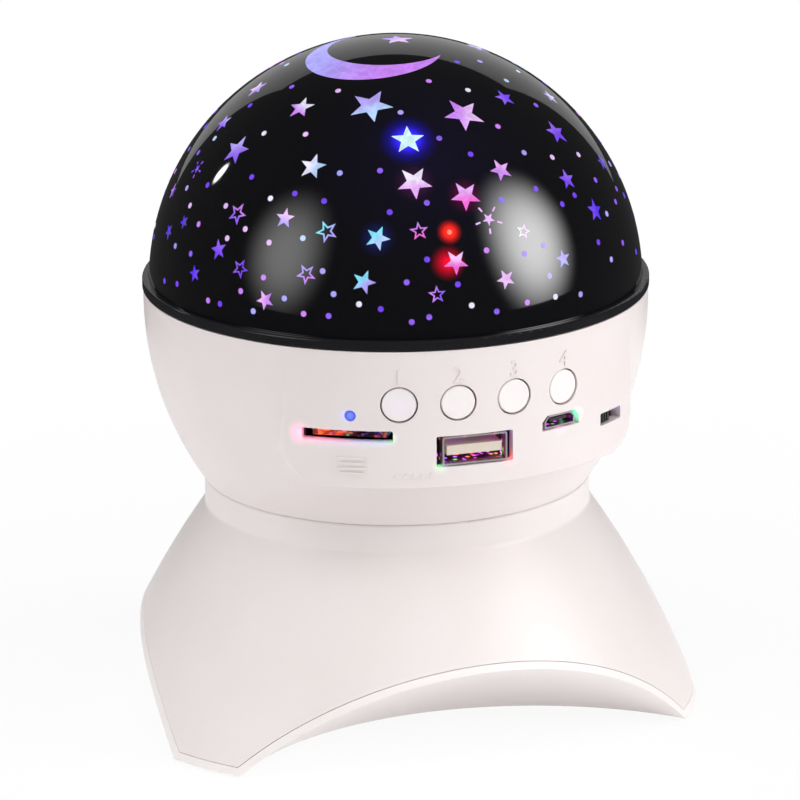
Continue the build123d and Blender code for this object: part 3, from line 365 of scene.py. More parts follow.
sleeve = shader.inputs["Base Color"].links[0].from_socket
colour_between(tree, shader, cap, sleeve, CAP_STEEL)
tree.links.new(cap, shader.inputs["Metallic"])
dress(made, "battery_cell")
dress(metal("strap_steel", STRAP_STEEL, STRAP_DULL, 0.34, (6000.0, 500.0, 500.0)), "battery_strap")
lead_red = moulded("lead_red", LEAD_RED, LEAD_SHADE, 0.4, grain=1800.0)[0]
dress(lead_red, "battery_leads", "lamp_leads", "motor_leads", "speaker_leads")

# ---------------------------------------------------------------- bowl
# The white body: a round bowl with a raised control panel, moulded in one piece with its bosses.
# Light from the lamps inside leaks out through its slots and tints their edges.
BOWL_WHITE, BOWL_SHADE = (0.785, 0.720, 0.715), (0.752, 0.683, 0.675)
LEAK_LENGTH, LEAK_STEPS = 16.5, 8  # the row of leaks under the card slot, in degrees


def glow_group():
    """Light that reaches one spot of a surface: a colour that fades out from a centre."""
    group, given = new_group(
        "glow_spot",
        {"Place": "Vector", "Centre": "Vector", "Reach": "Float", "Tint": "Color", "Below": "Color"},
        {"Light": "Color"},
    )
    way = wire(group, "ShaderNodeVectorMath", {0: given["Place"], 1: given["Centre"]}, operation="SUBTRACT")
    far = wire(group, "ShaderNodeVectorMath", {0: way.outputs[0]}, operation="LENGTH").outputs["Value"]
    part = wire(group, "ShaderNodeMath", {0: far, 1: given["Reach"]}, operation="DIVIDE", use_clamp=True)
    left = wire(group, "ShaderNodeMath", {0: 1.0, 1: part.outputs[0]}, operation="SUBTRACT")
    fade = wire(group, "ShaderNodeMath", {0: left.outputs[0], 1: 2.0}, operation="POWER").outputs[0]
    tint = wire(group, "ShaderNodeVectorMath", {0: given["Tint"], "Scale": fade}, operation="SCALE")
    both = wire(group, "ShaderNodeVectorMath", {0: tint.outputs[0], 1: given["Below"]}, operation="ADD")
    wire(group, "NodeGroupOutput", {"Light": both.outputs[0]})
    return group


glow_spot = glow_group()


def ring_point(angle, radius, height):
    """A place by its angle round the axis, its distance from the axis and its height, in mm."""
    turn = math.radians(angle)
    return Vector((radius * math.sin(turn), -radius * math.cos(turn), height)) * MM


def add_glow(tree, shader, place, spots):
    """Lays spots of light over a material: each is a centre, its reach in mm, and a colour."""
    light = (0, 0, 0, 1)
    for centre, reach, tint in spots:
        inputs = {"Place": place, "Centre": centre, "Reach": reach * MM, "Tint": (*tint, 1), "Below": light}
        light = wire(tree, "ShaderNodeGroup", inputs, node_tree=glow_spot).outputs["Light"]
    tree.links.new(light, shader.inputs["Emission Color"])
    shader.inputs["Emission Strength"].default_value = 1.0


leaks = [  # centre, reach in mm, colour
    (ring_point(-42.6, 49.8, 68.8), 3.2, (1.15, 0.05, 0.40)),
    (ring_point(-41.9, 49.2, 68.8), 1.7, (1.6, 0.20, 0.08)),
    (ring_point(-21.8, 48.8, 68.6), 2.0, (0.15, 1.2, 0.4)),
    (ring_point(-31.9, 49.7, 72.95), 2.2, (0.03, 0.06, 0.50)),
    (ring_point(-10.9, 48.6, 62.8), 2.4, (0.12, 1.0, 0.3)),
    (ring_point(5.5, 48.6, 62.8), 2.4, (1.3, 0.10, 0.10)),
    (ring_point(5.3, 48.6, 68.0), 2.2, (0.30, 0.10, 0.50)),
    (ring_point(24.0, 48.8, 68.9), 2.3, (0.15, 2.0, 0.9)),
    (ring_point(19.2, 48.4, 67.3), 2.6, (0.9, 0.20, 0.55)),
    (ring_point(40.4, 48.6, 67.2), 1.8, (0.34, 0.12, 0.60)),
]
for step in range(LEAK_STEPS + 1):  # from red at the slot's left through violet to blue
    across = step / LEAK_STEPS
    tint = (0.65 * (1 - across) ** 1.5, 0.03 + 0.20 * across**2, 0.30 + 0.15 * across)
    leaks.append((ring_point(-40.0 + LEAK_LENGTH * across, 48.9, 67.7), 2.1, tint))
made, tree, shader, place = moulded("bowl_white", BOWL_WHITE, BOWL_SHADE, 0.36, depth=0.010)
add_glow(tree, shader, place, leaks)
dress(made, "bowl_housing")

# ---------------------------------------------------------------- memory card slot
# A tin-plated card socket soldered under the main board, behind a plain slot in the panel.
# The lamps' light comes past it: red at its left end, green at its right.
# The tin is given a near-black colour: painted shade, as the socket lies deep behind the slot. The lamps' light on
# it is painted too, as glow.
CARD_TIN_PAINTED_SHADE = (0.09, 0.08, 0.09, 1)
FLECK_MAGENTA, FLECK_GREEN = (0.95, 0.05, 0.85, 1), (0.05, 0.75, 0.20, 1)
FLECK_VIOLET, FLECK_RED = (0.30, 0.12, 1.00, 1), (1.00, 0.08, 0.04, 1)


def fleck_group():
    """The lamps' colours, caught in scattered specks by whatever lies behind an opening."""
    group, given = new_group(
        "light_flecks", {"Place": "Vector", "Size": "Float", "Strength": "Float"}, {"Light": "Color"}
    )
    cells = wire(group, "ShaderNodeTexVoronoi", {"Vector": given["Place"], "Scale": given["Size"]})
    picks = wire(group, "ShaderNodeSeparateColor", {0: cells.outputs["Color"]}).outputs
    near = {0: cells.outputs["Distance"], 1: 0.20, 2: 0.50, 3: 1.0, 4: 0.0}
    speck = wire(group, "ShaderNodeMapRange", near)
    some = wire(group, "ShaderNodeMath", {0: picks[0], 1: 0.35}, operation="GREATER_THAN")
    shown = wire(group, "ShaderNodeMath", {0: speck.outputs[0], 1: some.outputs[0]}, operation="MULTIPLY")
    power = wire(group, "ShaderNodeMath", {0: shown.outputs[0], 1: given["Strength"]}, operation="MULTIPLY")
    power = power.outputs[0]
    hue = wire(group, "ShaderNodeValToRGB", {0: picks[1]})
    ramp = hue.color_ramp.elements
    ramp[0].color, ramp[1].color = FLECK_MAGENTA, FLECK_GREEN
    ramp.new(0.45).color = FLECK_VIOLET
    ramp.new(0.7).color = FLECK_RED
    light = wire(group, "ShaderNodeVectorMath", {0: hue.outputs[0], "Scale": power}, operation="SCALE")
    wire(group, "NodeGroupOutput", {"Light": light.outputs[0]})
    return group


light_flecks = fleck_group()
made, tree, shader, place = new_finish("card_socket_tin_painted_shade", Metallic=1.0, Base_Color=CARD_TIN_PAINTED_SHADE)
add_glow(tree, shader, place, [
    (ring_point(-41.0, 44.5, 68.3), 7.5, (2.2, 0.25, 0.05)),
    (ring_point(-35.5, 44.0, 68.6), 5.0, (1.1, 0.12, 0.05)),
    (ring_point(-22.5, 43.0, 68.5), 5.5, (0.03, 0.09, 0.32)),
    (ring_point(-20.5, 43.5, 68.0), 3.0, (0.06, 0.55, 0.16)),
])
glow = shader.inputs["Emission Color"].links[0].from_socket
# One noise gives the tin its stains, in its gloss, and also the patches in the painted light from the lamps.
stain = wire(tree, "ShaderNodeTexNoise", {"Vector": place, "Scale": 900.0, "Detail": 4.0})
light_patches = wire(tree, "ShaderNodeMapRange", {0: stain.outputs["Fac"], 1: 0.42, 2: 0.62, 3: 0.15, 4: 1.7})
uneven = wire(tree, "ShaderNodeVectorMath", {0: glow, "Scale": light_patches.outputs[0]}, operation="SCALE")
inputs = {"Place": place, "Size": 1100.0, "Strength": 0.6}
specks = wire(tree, "ShaderNodeGroup", inputs, node_tree=light_flecks).outputs["Light"]
light = wire(tree, "ShaderNodeVectorMath", {0: uneven.outputs[0], 1: specks}, operation="ADD")
tree.links.new(light.outputs[0], shader.inputs["Emission Color"])
vary_gloss(tree, shader, stain.outputs["Fac"], 0.3, 0.6)
dress(made, "card_socket")

# ---------------------------------------------------------------- USB socket
# A folded, tin-plated steel shell round a cream moulded tongue, soldered under the main board.
# Only its front edge catches daylight. Deeper in it is dark, with specks of the lamps' light.
SOCKET_STEEL, SOCKET_DULL = (0.62, 0.60, 0.58), (0.50, 0.48, 0.47)
SOCKET_DARK = (0.030, 0.028, 0.034)
DARK_END, BRIGHT_START = 46.5, 48.6  # from the axis, in mm
TONGUE_CREAM, TONGUE_SHADE = (0.70, 0.62, 0.52), (0.64, 0.56, 0.47)
made, tree, shader, place = new_finish("socket_steel", Metallic=1.0, Emission_Strength=1.0)
inputs = {"Place": place, "Stretch": (700.0, 5000.0, 5000.0)}
marks = wire(tree, "ShaderNodeGroup", inputs, node_tree=metal_streaks).outputs
out = wire(tree, "ShaderNodeVectorMath", {0: place, 1: (1, 1, 0)}, operation="MULTIPLY")
out = wire(tree, "ShaderNodeVectorMath", {0: out.outputs[0]}, operation="LENGTH").outputs["Value"]
inputs = {0: out, 1: DARK_END * MM, 2: BRIGHT_START * MM, 3: 0.0, 4: 1.0}
front = wire(tree, "ShaderNodeMapRange", inputs).outputs[0]
colour_between(tree, shader, marks["Stain"], SOCKET_STEEL, SOCKET_DULL)
lit = shader.inputs["Base Color"].links[0].from_socket
colour_between(tree, shader, front, SOCKET_DARK, lit)
vary_gloss(tree, shader, marks["Line"], 0.2, 0.5)
power = wire(tree, "ShaderNodeMapRange", {0: front, 1: 0.0, 2: 1.0, 3: 2.6, 4: 0.3}).outputs[0]
inputs = {"Place": place, "Size": 900.0, "Strength": power}
specks = wire(tree, "ShaderNodeGroup", inputs, node_tree=light_flecks).outputs["Light"]
tree.links.new(specks, shader.inputs["Emission Color"])
dress(made, "usb_socket_shell", "charge_socket_shell")
dress(moulded("tongue_cream", TONGUE_CREAM, TONGUE_SHADE, 0.5)[0], "usb_socket_tongue")

# ---------------------------------------------------------------- charging socket
# A small shell of the same plated steel, drawn from sheet, round a black moulded tongue.
# It is soldered under the main board, and its mouth shows in a slot of the panel.
TONGUE_BLACK, TONGUE_DARK = (0.030, 0.028, 0.030), (0.020, 0.020, 0.022)
dress(moulded("tongue_black", TONGUE_BLACK, TONGUE_DARK, 0.45)[0], "charge_socket_tongue")

# ---------------------------------------------------------------- indicator
# A clear acrylic light guide pressed into a small hole above the card slot, with a blue lamp
# behind it. Its front end glows, most in the middle.
GUIDE_END = (-30.9, 49.7, 72.95)  # angle, distance from the axis, height
CORE_INSIDE, CORE_OUTSIDE = 0.3, 1.1
GLOW_EDGE, GLOW_CORE = (0.012, 0.01, 0.45), (0.13, 0.13, 1.0)
GUIDE_EDGE, GUIDE_CORE = (0.05, 0.08, 0.5), (0.1, 0.2, 0.7)
made, tree, shader, place = new_finish("guide_blue", Roughness=0.2, IOR=1.49, Emission_Strength=0.75)
off = wire(tree, "ShaderNodeVectorMath", {0: place, 1: ring_point(*GUIDE_END)}, operation="DISTANCE")
inputs = {0: off.outputs["Value"], 1: CORE_INSIDE * MM, 2: CORE_OUTSIDE * MM, 3: 1.0, 4: 0.0}
core = wire(tree, "ShaderNodeMapRange", inputs).outputs[0]
colour_between(tree, shader, core, GLOW_EDGE, GLOW_CORE, "Emission Color")
colour_between(tree, shader, core, GUIDE_EDGE, GUIDE_CORE)
dress(made, "indicator_light")

# ---------------------------------------------------------------- push buttons
# Four loose ABS caps with a flange behind the panel, each on the plunger of a key switch.
# The blue indicator behind the wall shines faintly through the one next to it.
BUTTON_WHITE, BUTTON_SHADE = (0.870, 0.815, 0.815), (0.835, 0.775, 0.770)
LIT_SHADE = (0.80, 0.755, 0.80)
button_white = moulded("button_white", BUTTON_WHITE, BUTTON_SHADE, 0.30, depth=0.008)[0]
dress(button_white, "button_left", "button_right", "button_far_right")
made, tree, shader, place = moulded("button_white_lit", BUTTON_WHITE, LIT_SHADE, 0.30, depth=0.008)
add_glow(tree, shader, place, [(ring_point(-20.0, 49.5, 75.2), 3.0, (0.025, 0.0, 0.07))])
dress(made, "button_far_left")

# ---------------------------------------------------------------- power switch
# A black moulded slide switch, on edge behind the panel and soldered to the main board.
# Its knob slides in the panel's slot between two positions.
SWITCH_BLACK, SWITCH_SHADE = (0.018, 0.018, 0.019), (0.026, 0.026, 0.027)
dress(moulded("switch_black", SWITCH_BLACK, SWITCH_SHADE, 0.42)[0], "switch_knob", "switch_housing")

# ---------------------------------------------------------------- main board
# A board of fibreglass with a green lacquer over its copper tracks, screwed up under the deck.
# Four black key switches are soldered to it, behind the buttons.
BOARD_DARK, BOARD_MID = (0.008, 0.085, 0.030, 1), (0.012, 0.13, 0.045, 1)
TRACK_GREEN, LACQUER_GREEN = (0.02, 0.17, 0.06, 1), (0.010, 0.10, 0.035)
KEY_BLACK, KEY_SHADE = (0.022, 0.022, 0.023), (0.030, 0.030, 0.032)
made, tree, shader, place = new_finish("board_green", IOR=PLASTIC_IOR)
inputs = {"Vector": place, "Scale": 330.0, "Color1": BOARD_DARK, "Color2": BOARD_MID, "Mortar": TRACK_GREEN}
tracks = wire(tree, "ShaderNodeTexBrick", inputs).outputs
weave = wire(tree, "ShaderNodeTexNoise", {"Vector": place, "Scale": 1400.0, "Detail": 2.0}).outputs["Fac"]
colour_between(tree, shader, weave, tracks["Color"], LACQUER_GREEN)
vary_gloss(tree, shader, weave, 0.3, 0.5)
add_relief(tree, shader, tracks["Fac"], 0.4, 0.03)
dress(made, "main_board")
dress(moulded("key_black", KEY_BLACK, KEY_SHADE, 0.38)[0], "key_switches")

# ---------------------------------------------------------------- speaker
# A small moving-coil speaker behind the grille at the back, held by two screws: a black pressed
# steel basket, a cone of paper pulp and a nickel-plated magnet.
BASKET_BLACK, BASKET_SHADE = (0.05, 0.05, 0.052), (0.035, 0.035, 0.037)
PULP_DARK, PULP_PALE = (0.030, 0.028, 0.026), (0.090, 0.082, 0.074)
NICKEL, NICKEL_DULL = (0.55, 0.54, 0.52), (0.45, 0.44, 0.43)
dress(metal("basket_black", BASKET_BLACK, BASKET_SHADE, 0.4, (2500.0, 2500.0, 2500.0)), "speaker_frame")
made, tree, shader, place = new_finish("cone_pulp")
inputs = {"Vector": place, "Scale": 1600.0, "Detail": 8.0, "Roughness": 0.75}
pulp = wire(tree, "ShaderNodeTexNoise", inputs).outputs["Fac"]
colour_between(tree, shader, pulp, PULP_DARK, PULP_PALE)
vary_gloss(tree, shader, pulp, 0.75, 0.95)
add_relief(tree, shader, pulp, 0.6, 0.06)
dress(made, "speaker_cone")
dress(metal("magnet_nickel", NICKEL, NICKEL_DULL, 0.25, (1200.0, 5000.0, 1200.0)), "speaker_magnet")

# ---------------------------------------------------------------- deck and gear motor
# A black plate closes the bowl and carries the hub. A gear motor under it turns the dome's ring
# gear through a small nylon pinion.
DECK_BLACK, DECK_SHADE = (0.020, 0.020, 0.021), (0.028, 0.028, 0.029)
CAN_STEEL, CAN_DULL = (0.58, 0.58, 0.57), (0.47, 0.47, 0.46)
SHAFT_STEEL, SHAFT_DULL = (0.60, 0.60, 0.60), (0.50, 0.50, 0.51)
NYLON, NYLON_SHADE = (0.62, 0.60, 0.53), (0.56, 0.54, 0.48)
dress(moulded("deck_black", DECK_BLACK, DECK_SHADE, 0.5, depth=0.02)[0], "deck_plate")
dress(metal("motor_can", CAN_STEEL, CAN_DULL, 0.28, (700.0, 700.0, 8000.0)), "drive_motor")
dress(metal("shaft_steel", SHAFT_STEEL, SHAFT_DULL, 0.2, (900.0, 900.0, 9000.0)), "motor_shaft")
dress(moulded("nylon_natural", NYLON, NYLON_SHADE, 0.42)[0], "drive_pinion")

# ---------------------------------------------------------------- lamps
# Four lamps of cast epoxy, red, green, blue and white, soldered to a small white board.
# A moulded post in the middle of the deck holds the board up inside the dome.
LAMP_BOARD_WHITE, LAMP_BOARD_SHADE = (0.70, 0.70, 0.69), (0.64, 0.64, 0.63)
POST_WHITE, POST_SHADE = (0.68, 0.67, 0.65), (0.62, 0.61, 0.59)
LAMP_TINTS = {
    "red": (0.9, 0.02, 0.02), "green": (0.02, 0.8, 0.08), "blue": (0.02, 0.08, 0.95), "white": (0.85, 0.85, 0.9)
}  # fmt: skip
dress(moulded("board_white", LAMP_BOARD_WHITE, LAMP_BOARD_SHADE, 0.35)[0], "lamp_board")
dress(moulded("post_white", POST_WHITE, POST_SHADE, 0.45)[0], "lamp_post")
for name, tint in LAMP_TINTS.items():
    made, tree, shader, place = moulded("lamp_" + name, tint, tuple(0.8 * part for part in tint), 0.25)
    lamp_low, lamp_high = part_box(name + "_lamp")
    crown = Vector(((lamp_low.x + lamp_high.x) / 2, (lamp_low.y + lamp_high.y) / 2, lamp_high.z))
    add_glow(tree, shader, place, [(crown, 3.0, tint)])
    dress(made, name + "_lamp")

# ---------------------------------------------------------------- raised marks
# Plain marks moulded into the bowl: a number above each button, bars under the card slot and dots
# beside the USB socket. They stand a fifth of a millimetre proud of the wall.
PANEL_RADIUS = 49.8
MARK_HEIGHT = 0.2
MARK_ROOT = 0.05  # how far a mark goes into the wall
BUTTON_ANGLES = [-20.0, -6.7, 6.6, 19.9]
NUMBER_SIZE, NUMBER_PLACE = 4.5, 80.7  # height of a letter, and height above the table
BAR_LENGTH, BAR_SHORTER, BAR_WIDTH = 6.0, 1.4, 0.5
BAR_ANGLE, TOP_BAR, BAR_PITCH = -30.6, 64.4, 1.0
DOT_RADIUS, DOT_PLACE, FIRST_DOT, DOT_PITCH = 0.5, 61.0, -20.4, 1.9
solid = bmesh.new()
solid.from_mesh(nodes["bowl_housing"].data)
bowl_wall = BVHTree.FromBMesh(solid)
solid.free()


def lay_on_wall(mesh, angle, height):
    """Lays a flat outline, drawn in mm round its own middle, on the bowl's wall, and raises it."""
    for corner in mesh.verts:
        way = direction(angle + math.degrees(corner.co.x / PANEL_RADIUS), 0)
        outside = way * 80 * MM + Vector((0, 0, (height + corner.co.y) * MM))
        found = bowl_wall.ray_cast(outside, -way)[0]
        corner.co = found - way * MARK_ROOT * MM
    raised = bmesh.ops.extrude_face_region(mesh, geom=mesh.faces[:])["geom"]
    tops = [part for part in raised if isinstance(part, bmesh.types.BMVert)]
    for corner in tops:
        corner.co += Vector((corner.co.x, corner.co.y, 0)).normalized() * (MARK_HEIGHT + MARK_ROOT) * MM
    bmesh.ops.recalc_face_normals(mesh, faces=mesh.faces[:])


marks_mesh = bpy.data.meshes.new("marks")
every_mark = bmesh.new()


def add_mark(mesh, angle, height):
    """Puts one mark on the wall and gathers it with the others."""
    lay_on_wall(mesh, angle, height)
    mesh.to_mesh(marks_mesh)
    mesh.free()
    every_mark.from_mesh(marks_mesh)


for number, angle in enumerate(BUTTON_ANGLES, 1):
    letters = bpy.data.curves.new("number", "FONT")
    letters.body = str(number)
    letters.size = NUMBER_SIZE
    letters.align_x, letters.align_y = "CENTER", "CENTER"
    letters.resolution_u = 4
    drawn = bpy.data.objects.new("number", letters)
    bpy.context.scene.collection.objects.link(drawn)
    flat = bpy.data.meshes.new_from_object(drawn.evaluated_get(bpy.context.evaluated_depsgraph_get()))
    bpy.data.objects.remove(drawn)
    mesh = bmesh.new()
    mesh.from_mesh(flat)
    bmesh.ops.remove_doubles(mesh, verts=mesh.verts, dist=0.001)
    bmesh.ops.triangulate(mesh, faces=mesh.faces[:])
    add_mark(mesh, angle, NUMBER_PLACE)
for number in range(4):
    mesh = bmesh.new()
    bmesh.ops.create_grid(mesh, x_segments=6, y_segments=1, size=0.5)
    bmesh.ops.scale(mesh, vec=(BAR_LENGTH - BAR_SHORTER * (number % 2), BAR_WIDTH, 1), verts=mesh.verts)
    add_mark(mesh, BAR_ANGLE, TOP_BAR - BAR_PITCH * number)
for number in range(5):
    mesh = bmesh.new()
    bmesh.ops.create_circle(mesh, cap_ends=True, segments=16, radius=DOT_RADIUS)
    add_mark(mesh, FIRST_DOT + DOT_PITCH * number, DOT_PLACE)
marks = piece("raised_marks", every_mark, bpy.data.materials["bowl_white"], "housing")

# ---------------------------------------------------------------- turntable and bezel
# Polished black ABS: the turntable's rim shows as a thin bead over the bowl, and the bezel on top
# of it, which clamps the dome's foot, as a second one.
RIM_BLACK, RIM_SHADE = (0.010, 0.010, 0.012), (0.014, 0.014, 0.016)
gloss_black = moulded("gloss_black", RIM_BLACK, RIM_SHADE, 0.12, grain=900.0, depth=0.004)[0]
dress(gloss_black, "turntable", "dome_bezel")

# ---------------------------------------------------------------- dome
# A half ball moulded in clear polycarbonate, which carries the film. Its foot is held down
# under the bezel.
DOME_CLEAR = (0.92, 0.91, 0.96, 1)
made, tree, shader, place = new_finish("clear_dome", Base_Color=DOME_CLEAR, IOR=1.59, Transmission_Weight=1.0)
haze = wire(tree, "ShaderNodeTexNoise", {"Vector": place, "Scale": 60.0, "Detail": 4.0})
vary_gloss(tree, shader, haze.outputs["Fac"], 0.02, 0.08)
dress(made, "dome_shell")

# ---------------------------------------------------------------- star film
# A black printed film, moulded over the dome and as glossy as it. Stars, dots and a crescent are
# left clear in it, and the lamps shine out through them.
DOME_RADIUS = 48.7
DOME_MIDDLE = Vector((0, 0, 86.3))
FILM_THICKNESS = 0.25
FILM_FOOT = 87.5
FILM_BLACK = (0.003, 0.003, 0.004, 1)


def dome_point(angle, elevation):
    """A place on the dome's skin, in metres."""
    return (DOME_MIDDLE + direction(angle, elevation) * DOME_RADIUS) * MM


mesh = bmesh.new()
bmesh.ops.create_uvsphere(mesh, u_segments=180, v_segments=90, radius=DOME_RADIUS * MM)
bmesh.ops.translate(mesh, vec=DOME_MIDDLE * MM, verts=mesh.verts)
bmesh.ops.bisect_plane(
    mesh, geom=mesh.verts[:] + mesh.edges[:] + mesh.faces[:], plane_co=(0, 0, FILM_FOOT * MM),
    plane_no=(0, 0, 1), clear_inner=True,
)
bmesh.ops.solidify(mesh, geom=mesh.faces[:], thickness=FILM_THICKNESS * MM)
bmesh.ops.recalc_face_normals(mesh, faces=mesh.faces[:])
for face in mesh.faces:
    face.smooth = True
polish = {"Coat_Weight": 1.0, "Coat_IOR": PLASTIC_IOR, "Coat_Roughness": 0.04}
made, tree, shader, place = new_finish("film_black", Base_Color=FILM_BLACK, IOR=PLASTIC_IOR, **polish)
smear = wire(tree, "ShaderNodeTexNoise", {"Vector": place, "Scale": 45.0, "Detail": 5.0})
vary_gloss(tree, shader, smear.outputs["Fac"], 0.035, 0.055, start=0.3, end=0.7)
# Painted light on the black film: a faint violet glow over its front, halos round the blue star and the red dot,
# and dim glows round a few stars.
add_glow(tree, shader, place, [  # centre, reach in mm, colour
    (dome_point(-10, 44), 30.0, (0.003, 0.001, 0.014)),
    (dome_point(-16, 49), 6.2, (0.03, 0.01, 1.2)),
    (dome_point(-16, 49), 4.0, (0.10, 0.06, 2.4)),
    (dome_point(-6.9, 25.9), 2.7, (2.9, 0.05, 0.02)),
    (dome_point(-8, 19), 3.8, (1.5, 0.0, 0.04)),
    (dome_point(-1, 34), 4.4, (0.16, 0.0, 0.06)),
    (dome_point(-15, 38), 4.8, (0.08, 0.01, 0.08)),
    (dome_point(-25, 25), 4.2, (0.01, 0.02, 0.18)),
])
film = piece("star_film", mesh, made, "dome")
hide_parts("star_mask")

# ---------------------------------------------------------------- star windows
# Five-pointed windows in the film, some only as outlines, and two with dashed rays round them.
# Each is filled with the lamps' light in one or two colours.
STAR_POINTS = 5
STAR_WAIST = 0.42  # of the points' reach
RAYED_STAR = 0.46  # a rayed star's share of its whole size
OUTLINE_WIDTH = 0.14  # of its size
RAY_LENGTH, RAY_MIDDLE, RAY_WIDTH = 0.36, 0.82, 0.34  # the first two of its size, the last in mm
TINT_SPREAD = 1.3  # how sharply one colour of a window gives way to the other
WINDOW_RISE, WINDOW_THICKNESS = 0.035, 0.12
TINTS = {
    "white": (0.85, 0.82, 1.00), "ice": (0.48, 0.66, 1.00), "cyan": (0.24, 0.78, 1.00),
    "lavender": (0.47, 0.37, 0.97), "periwinkle": (0.40, 0.38, 0.96), "violet": (0.28, 0.12, 0.90),
    "deep": (0.19, 0.06, 0.93), "blue": (0.08, 0.03, 0.86), "dim": (0.12, 0.07, 0.43),
    "pink": (0.86, 0.45, 0.99), "orchid": (0.62, 0.24, 0.95), "magenta": (0.95, 0.16, 0.74),
    "blush": (0.84, 0.54, 0.98), "red": (1.0, 0.30, 0.20), "glare": (0.68, 0.95, 0.98),
}  # fmt: skip
# angle, elevation, size in mm, turn, kind, colour, second colour, the side that the second is on
STARS = [
    (-31, 59, 4.4, 0, "full", "lavender", "ice", -60), (8, 55, 4.2, 36, "full", "orchid", "blush", -20),
    (33, 57, 2.2, 8, "full", "violet", "deep", 0), (63, 51, 1.9, 48, "full", "lavender", "white", 0),
    (-62, 56, 2.8, 32, "full", "orchid", "white", 70), (-100, 56, 2.4, 69, "full", "blush", "lavender", 0),
    (-96, 45, 2.1, 60, "full", "violet", "lavender", 90), (-77, 41, 3.3, 20, "full", "violet", "lavender", 120),
    (-16, 49, 3.3, 18, "full", "glare", "glare", 0), (43, 44, 2.8, 5, "full", "violet", "deep", -90),
    (-46, 41, 2.8, 16, "full", "ice", "white", 170), (12, 39, 2.4, 31, "full", "orchid", "pink", 60),
    (-15, 38, 3.5, 57, "full", "white", "pink", -90), (-1, 34, 3.1, 45, "full", "pink", "magenta", -90),
    (34, 33, 2.2, 10, "full", "deep", "violet", 60), (58, 32, 1.9, 3, "full", "dim", "deep", 0),
    (-91, 33, 2.0, 70, "rays", "deep", "violet", 0), (-100, 25, 1.6, 40, "full", "orchid", "dim", 0),
    (4, 28, 2.9, 50, "rays", "blush", "pink", 0), (-50, 28, 2.1, 19, "full", "lavender", "blush", 90),
    (-25, 25, 2.5, 68, "full", "ice", "cyan", 130), (-6, 19, 2.5, 51, "full", "blush", "magenta", -90),
    (40, 24, 2.4, 5, "full", "deep", "blue", 0), (-92, 17, 1.6, 67, "full", "blue", "dim", 0),
    (-85, 21, 1.5, 55, "full", "blue", "dim", 0), (-68, 18, 2.1, 39, "full", "deep", "violet", 90),
    (-75, 11, 1.7, 38, "full", "blue", "deep", 0), (-52, 9, 2.0, 49, "full", "pink", "orchid", 0),
    (-28, 15, 2.4, 71, "full", "lavender", "cyan", 130), (6, 14, 2.0, 40, "full", "blush", "pink", 0),
    (23, 16, 1.9, 20, "full", "periwinkle", "lavender", 90), (-65, 27, 2.3, 1, "outline", "violet", "orchid", 60),
    (-38, 26, 2.3, 47, "outline", "cyan", "lavender", -30), (-60, 15, 2.0, 69, "outline", "violet", "deep", 0),
    (-42, 16, 2.1, 52, "outline", "lavender", "orchid", -60), (-11, 12, 1.8, 21, "outline", "orchid", "violet", 0),
    (-14.6, 26.5, 1.9, 23, "outline", "orchid", "magenta", -90), (13, 24, 1.6, 68, "outline", "white", "blush", 0),
    (108, 89, 3.3, 40, "full", "blush", "lavender", 0), (90, 69, 2.6, 30, "full", "lavender", "white", 0),
]  # fmt: skip
BACK_ROWS = [(14, 9, 2.0), (28, 8, 2.6), (43, 7, 2.2), (58, 5, 3.0)]  # elevation, count, size
BACK_START, BACK_WIDTH = 75, 170  # degrees of the dome
BACK_TINTS = ["violet", "lavender", "ice", "pink", "deep", "orchid", "periwinkle"]
for row, (elevation, count, size) in enumerate(BACK_ROWS):
    for number in range(count):
        angle = BACK_START + (number + 0.5) * BACK_WIDTH / count
        tint = BACK_TINTS[(3 * row + 2 * number) % 7]
        second = BACK_TINTS[(3 * row + 2 * number + 1) % 7]
        kind = "outline" if (number + row) % 4 == 1 else "full"
        STARS.append((angle, elevation, size, 23 * number % 72, kind, tint, second, 50 * number))


def new_window():
    """An empty mesh for one window or a sheet of them, whose points can carry a colour."""
    mesh = bmesh.new()
    mesh.verts.layers.float_color.new("tint")
    return mesh


def add_window(sheet, mesh, angle, elevation, tints, toward, size):
    """Bends a flat window onto the dome, shades it between its two colours, and adds it to a sheet."""
    layer = mesh.verts.layers.float_color["tint"]
    out = direction(angle, elevation)
    right = direction(angle + 90, 0)
    up = out.cross(right)
    side = Vector((math.cos(math.radians(toward)), math.sin(math.radians(toward)), 0))
    first, second = (Vector(TINTS[name]) for name in tints)
    for point in mesh.verts:
        flat = point.co.copy()
        share = min(1.0, max(0.0, 0.5 + TINT_SPREAD * flat.dot(side) / size))
        share = share * share * (3 - 2 * share)
        point[layer] = (*first.lerp(second, share), 1)
        way = (out * DOME_RADIUS + right * flat.x + up * flat.y).normalized()
        point.co = (DOME_MIDDLE + way * (DOME_RADIUS + WINDOW_RISE)) * MM
    bent = bpy.data.meshes.new("window")
    mesh.to_mesh(bent)
    mesh.free()
    sheet.from_mesh(bent)
    bpy.data.meshes.remove(bent)


def flat_star(mesh, size, turn):
    """A flat star, turned by an angle from standing on two of its points."""
    bmesh.ops.create_circle(mesh, cap_ends=True, cap_tris=True, segments=2 * STAR_POINTS, radius=size)
    rim = sorted((p for p in mesh.verts if p.co.length > size / 2), key=lambda p: math.atan2(p.co.y, p.co.x))
    bmesh.ops.scale(mesh, vec=(STAR_WAIST, STAR_WAIST, 1), verts=rim[1::2])
    spin = Matrix.Rotation(math.radians(turn + 18), 3, "Z")
    bmesh.ops.rotate(mesh, cent=(0, 0, 0), matrix=spin, verts=mesh.verts)


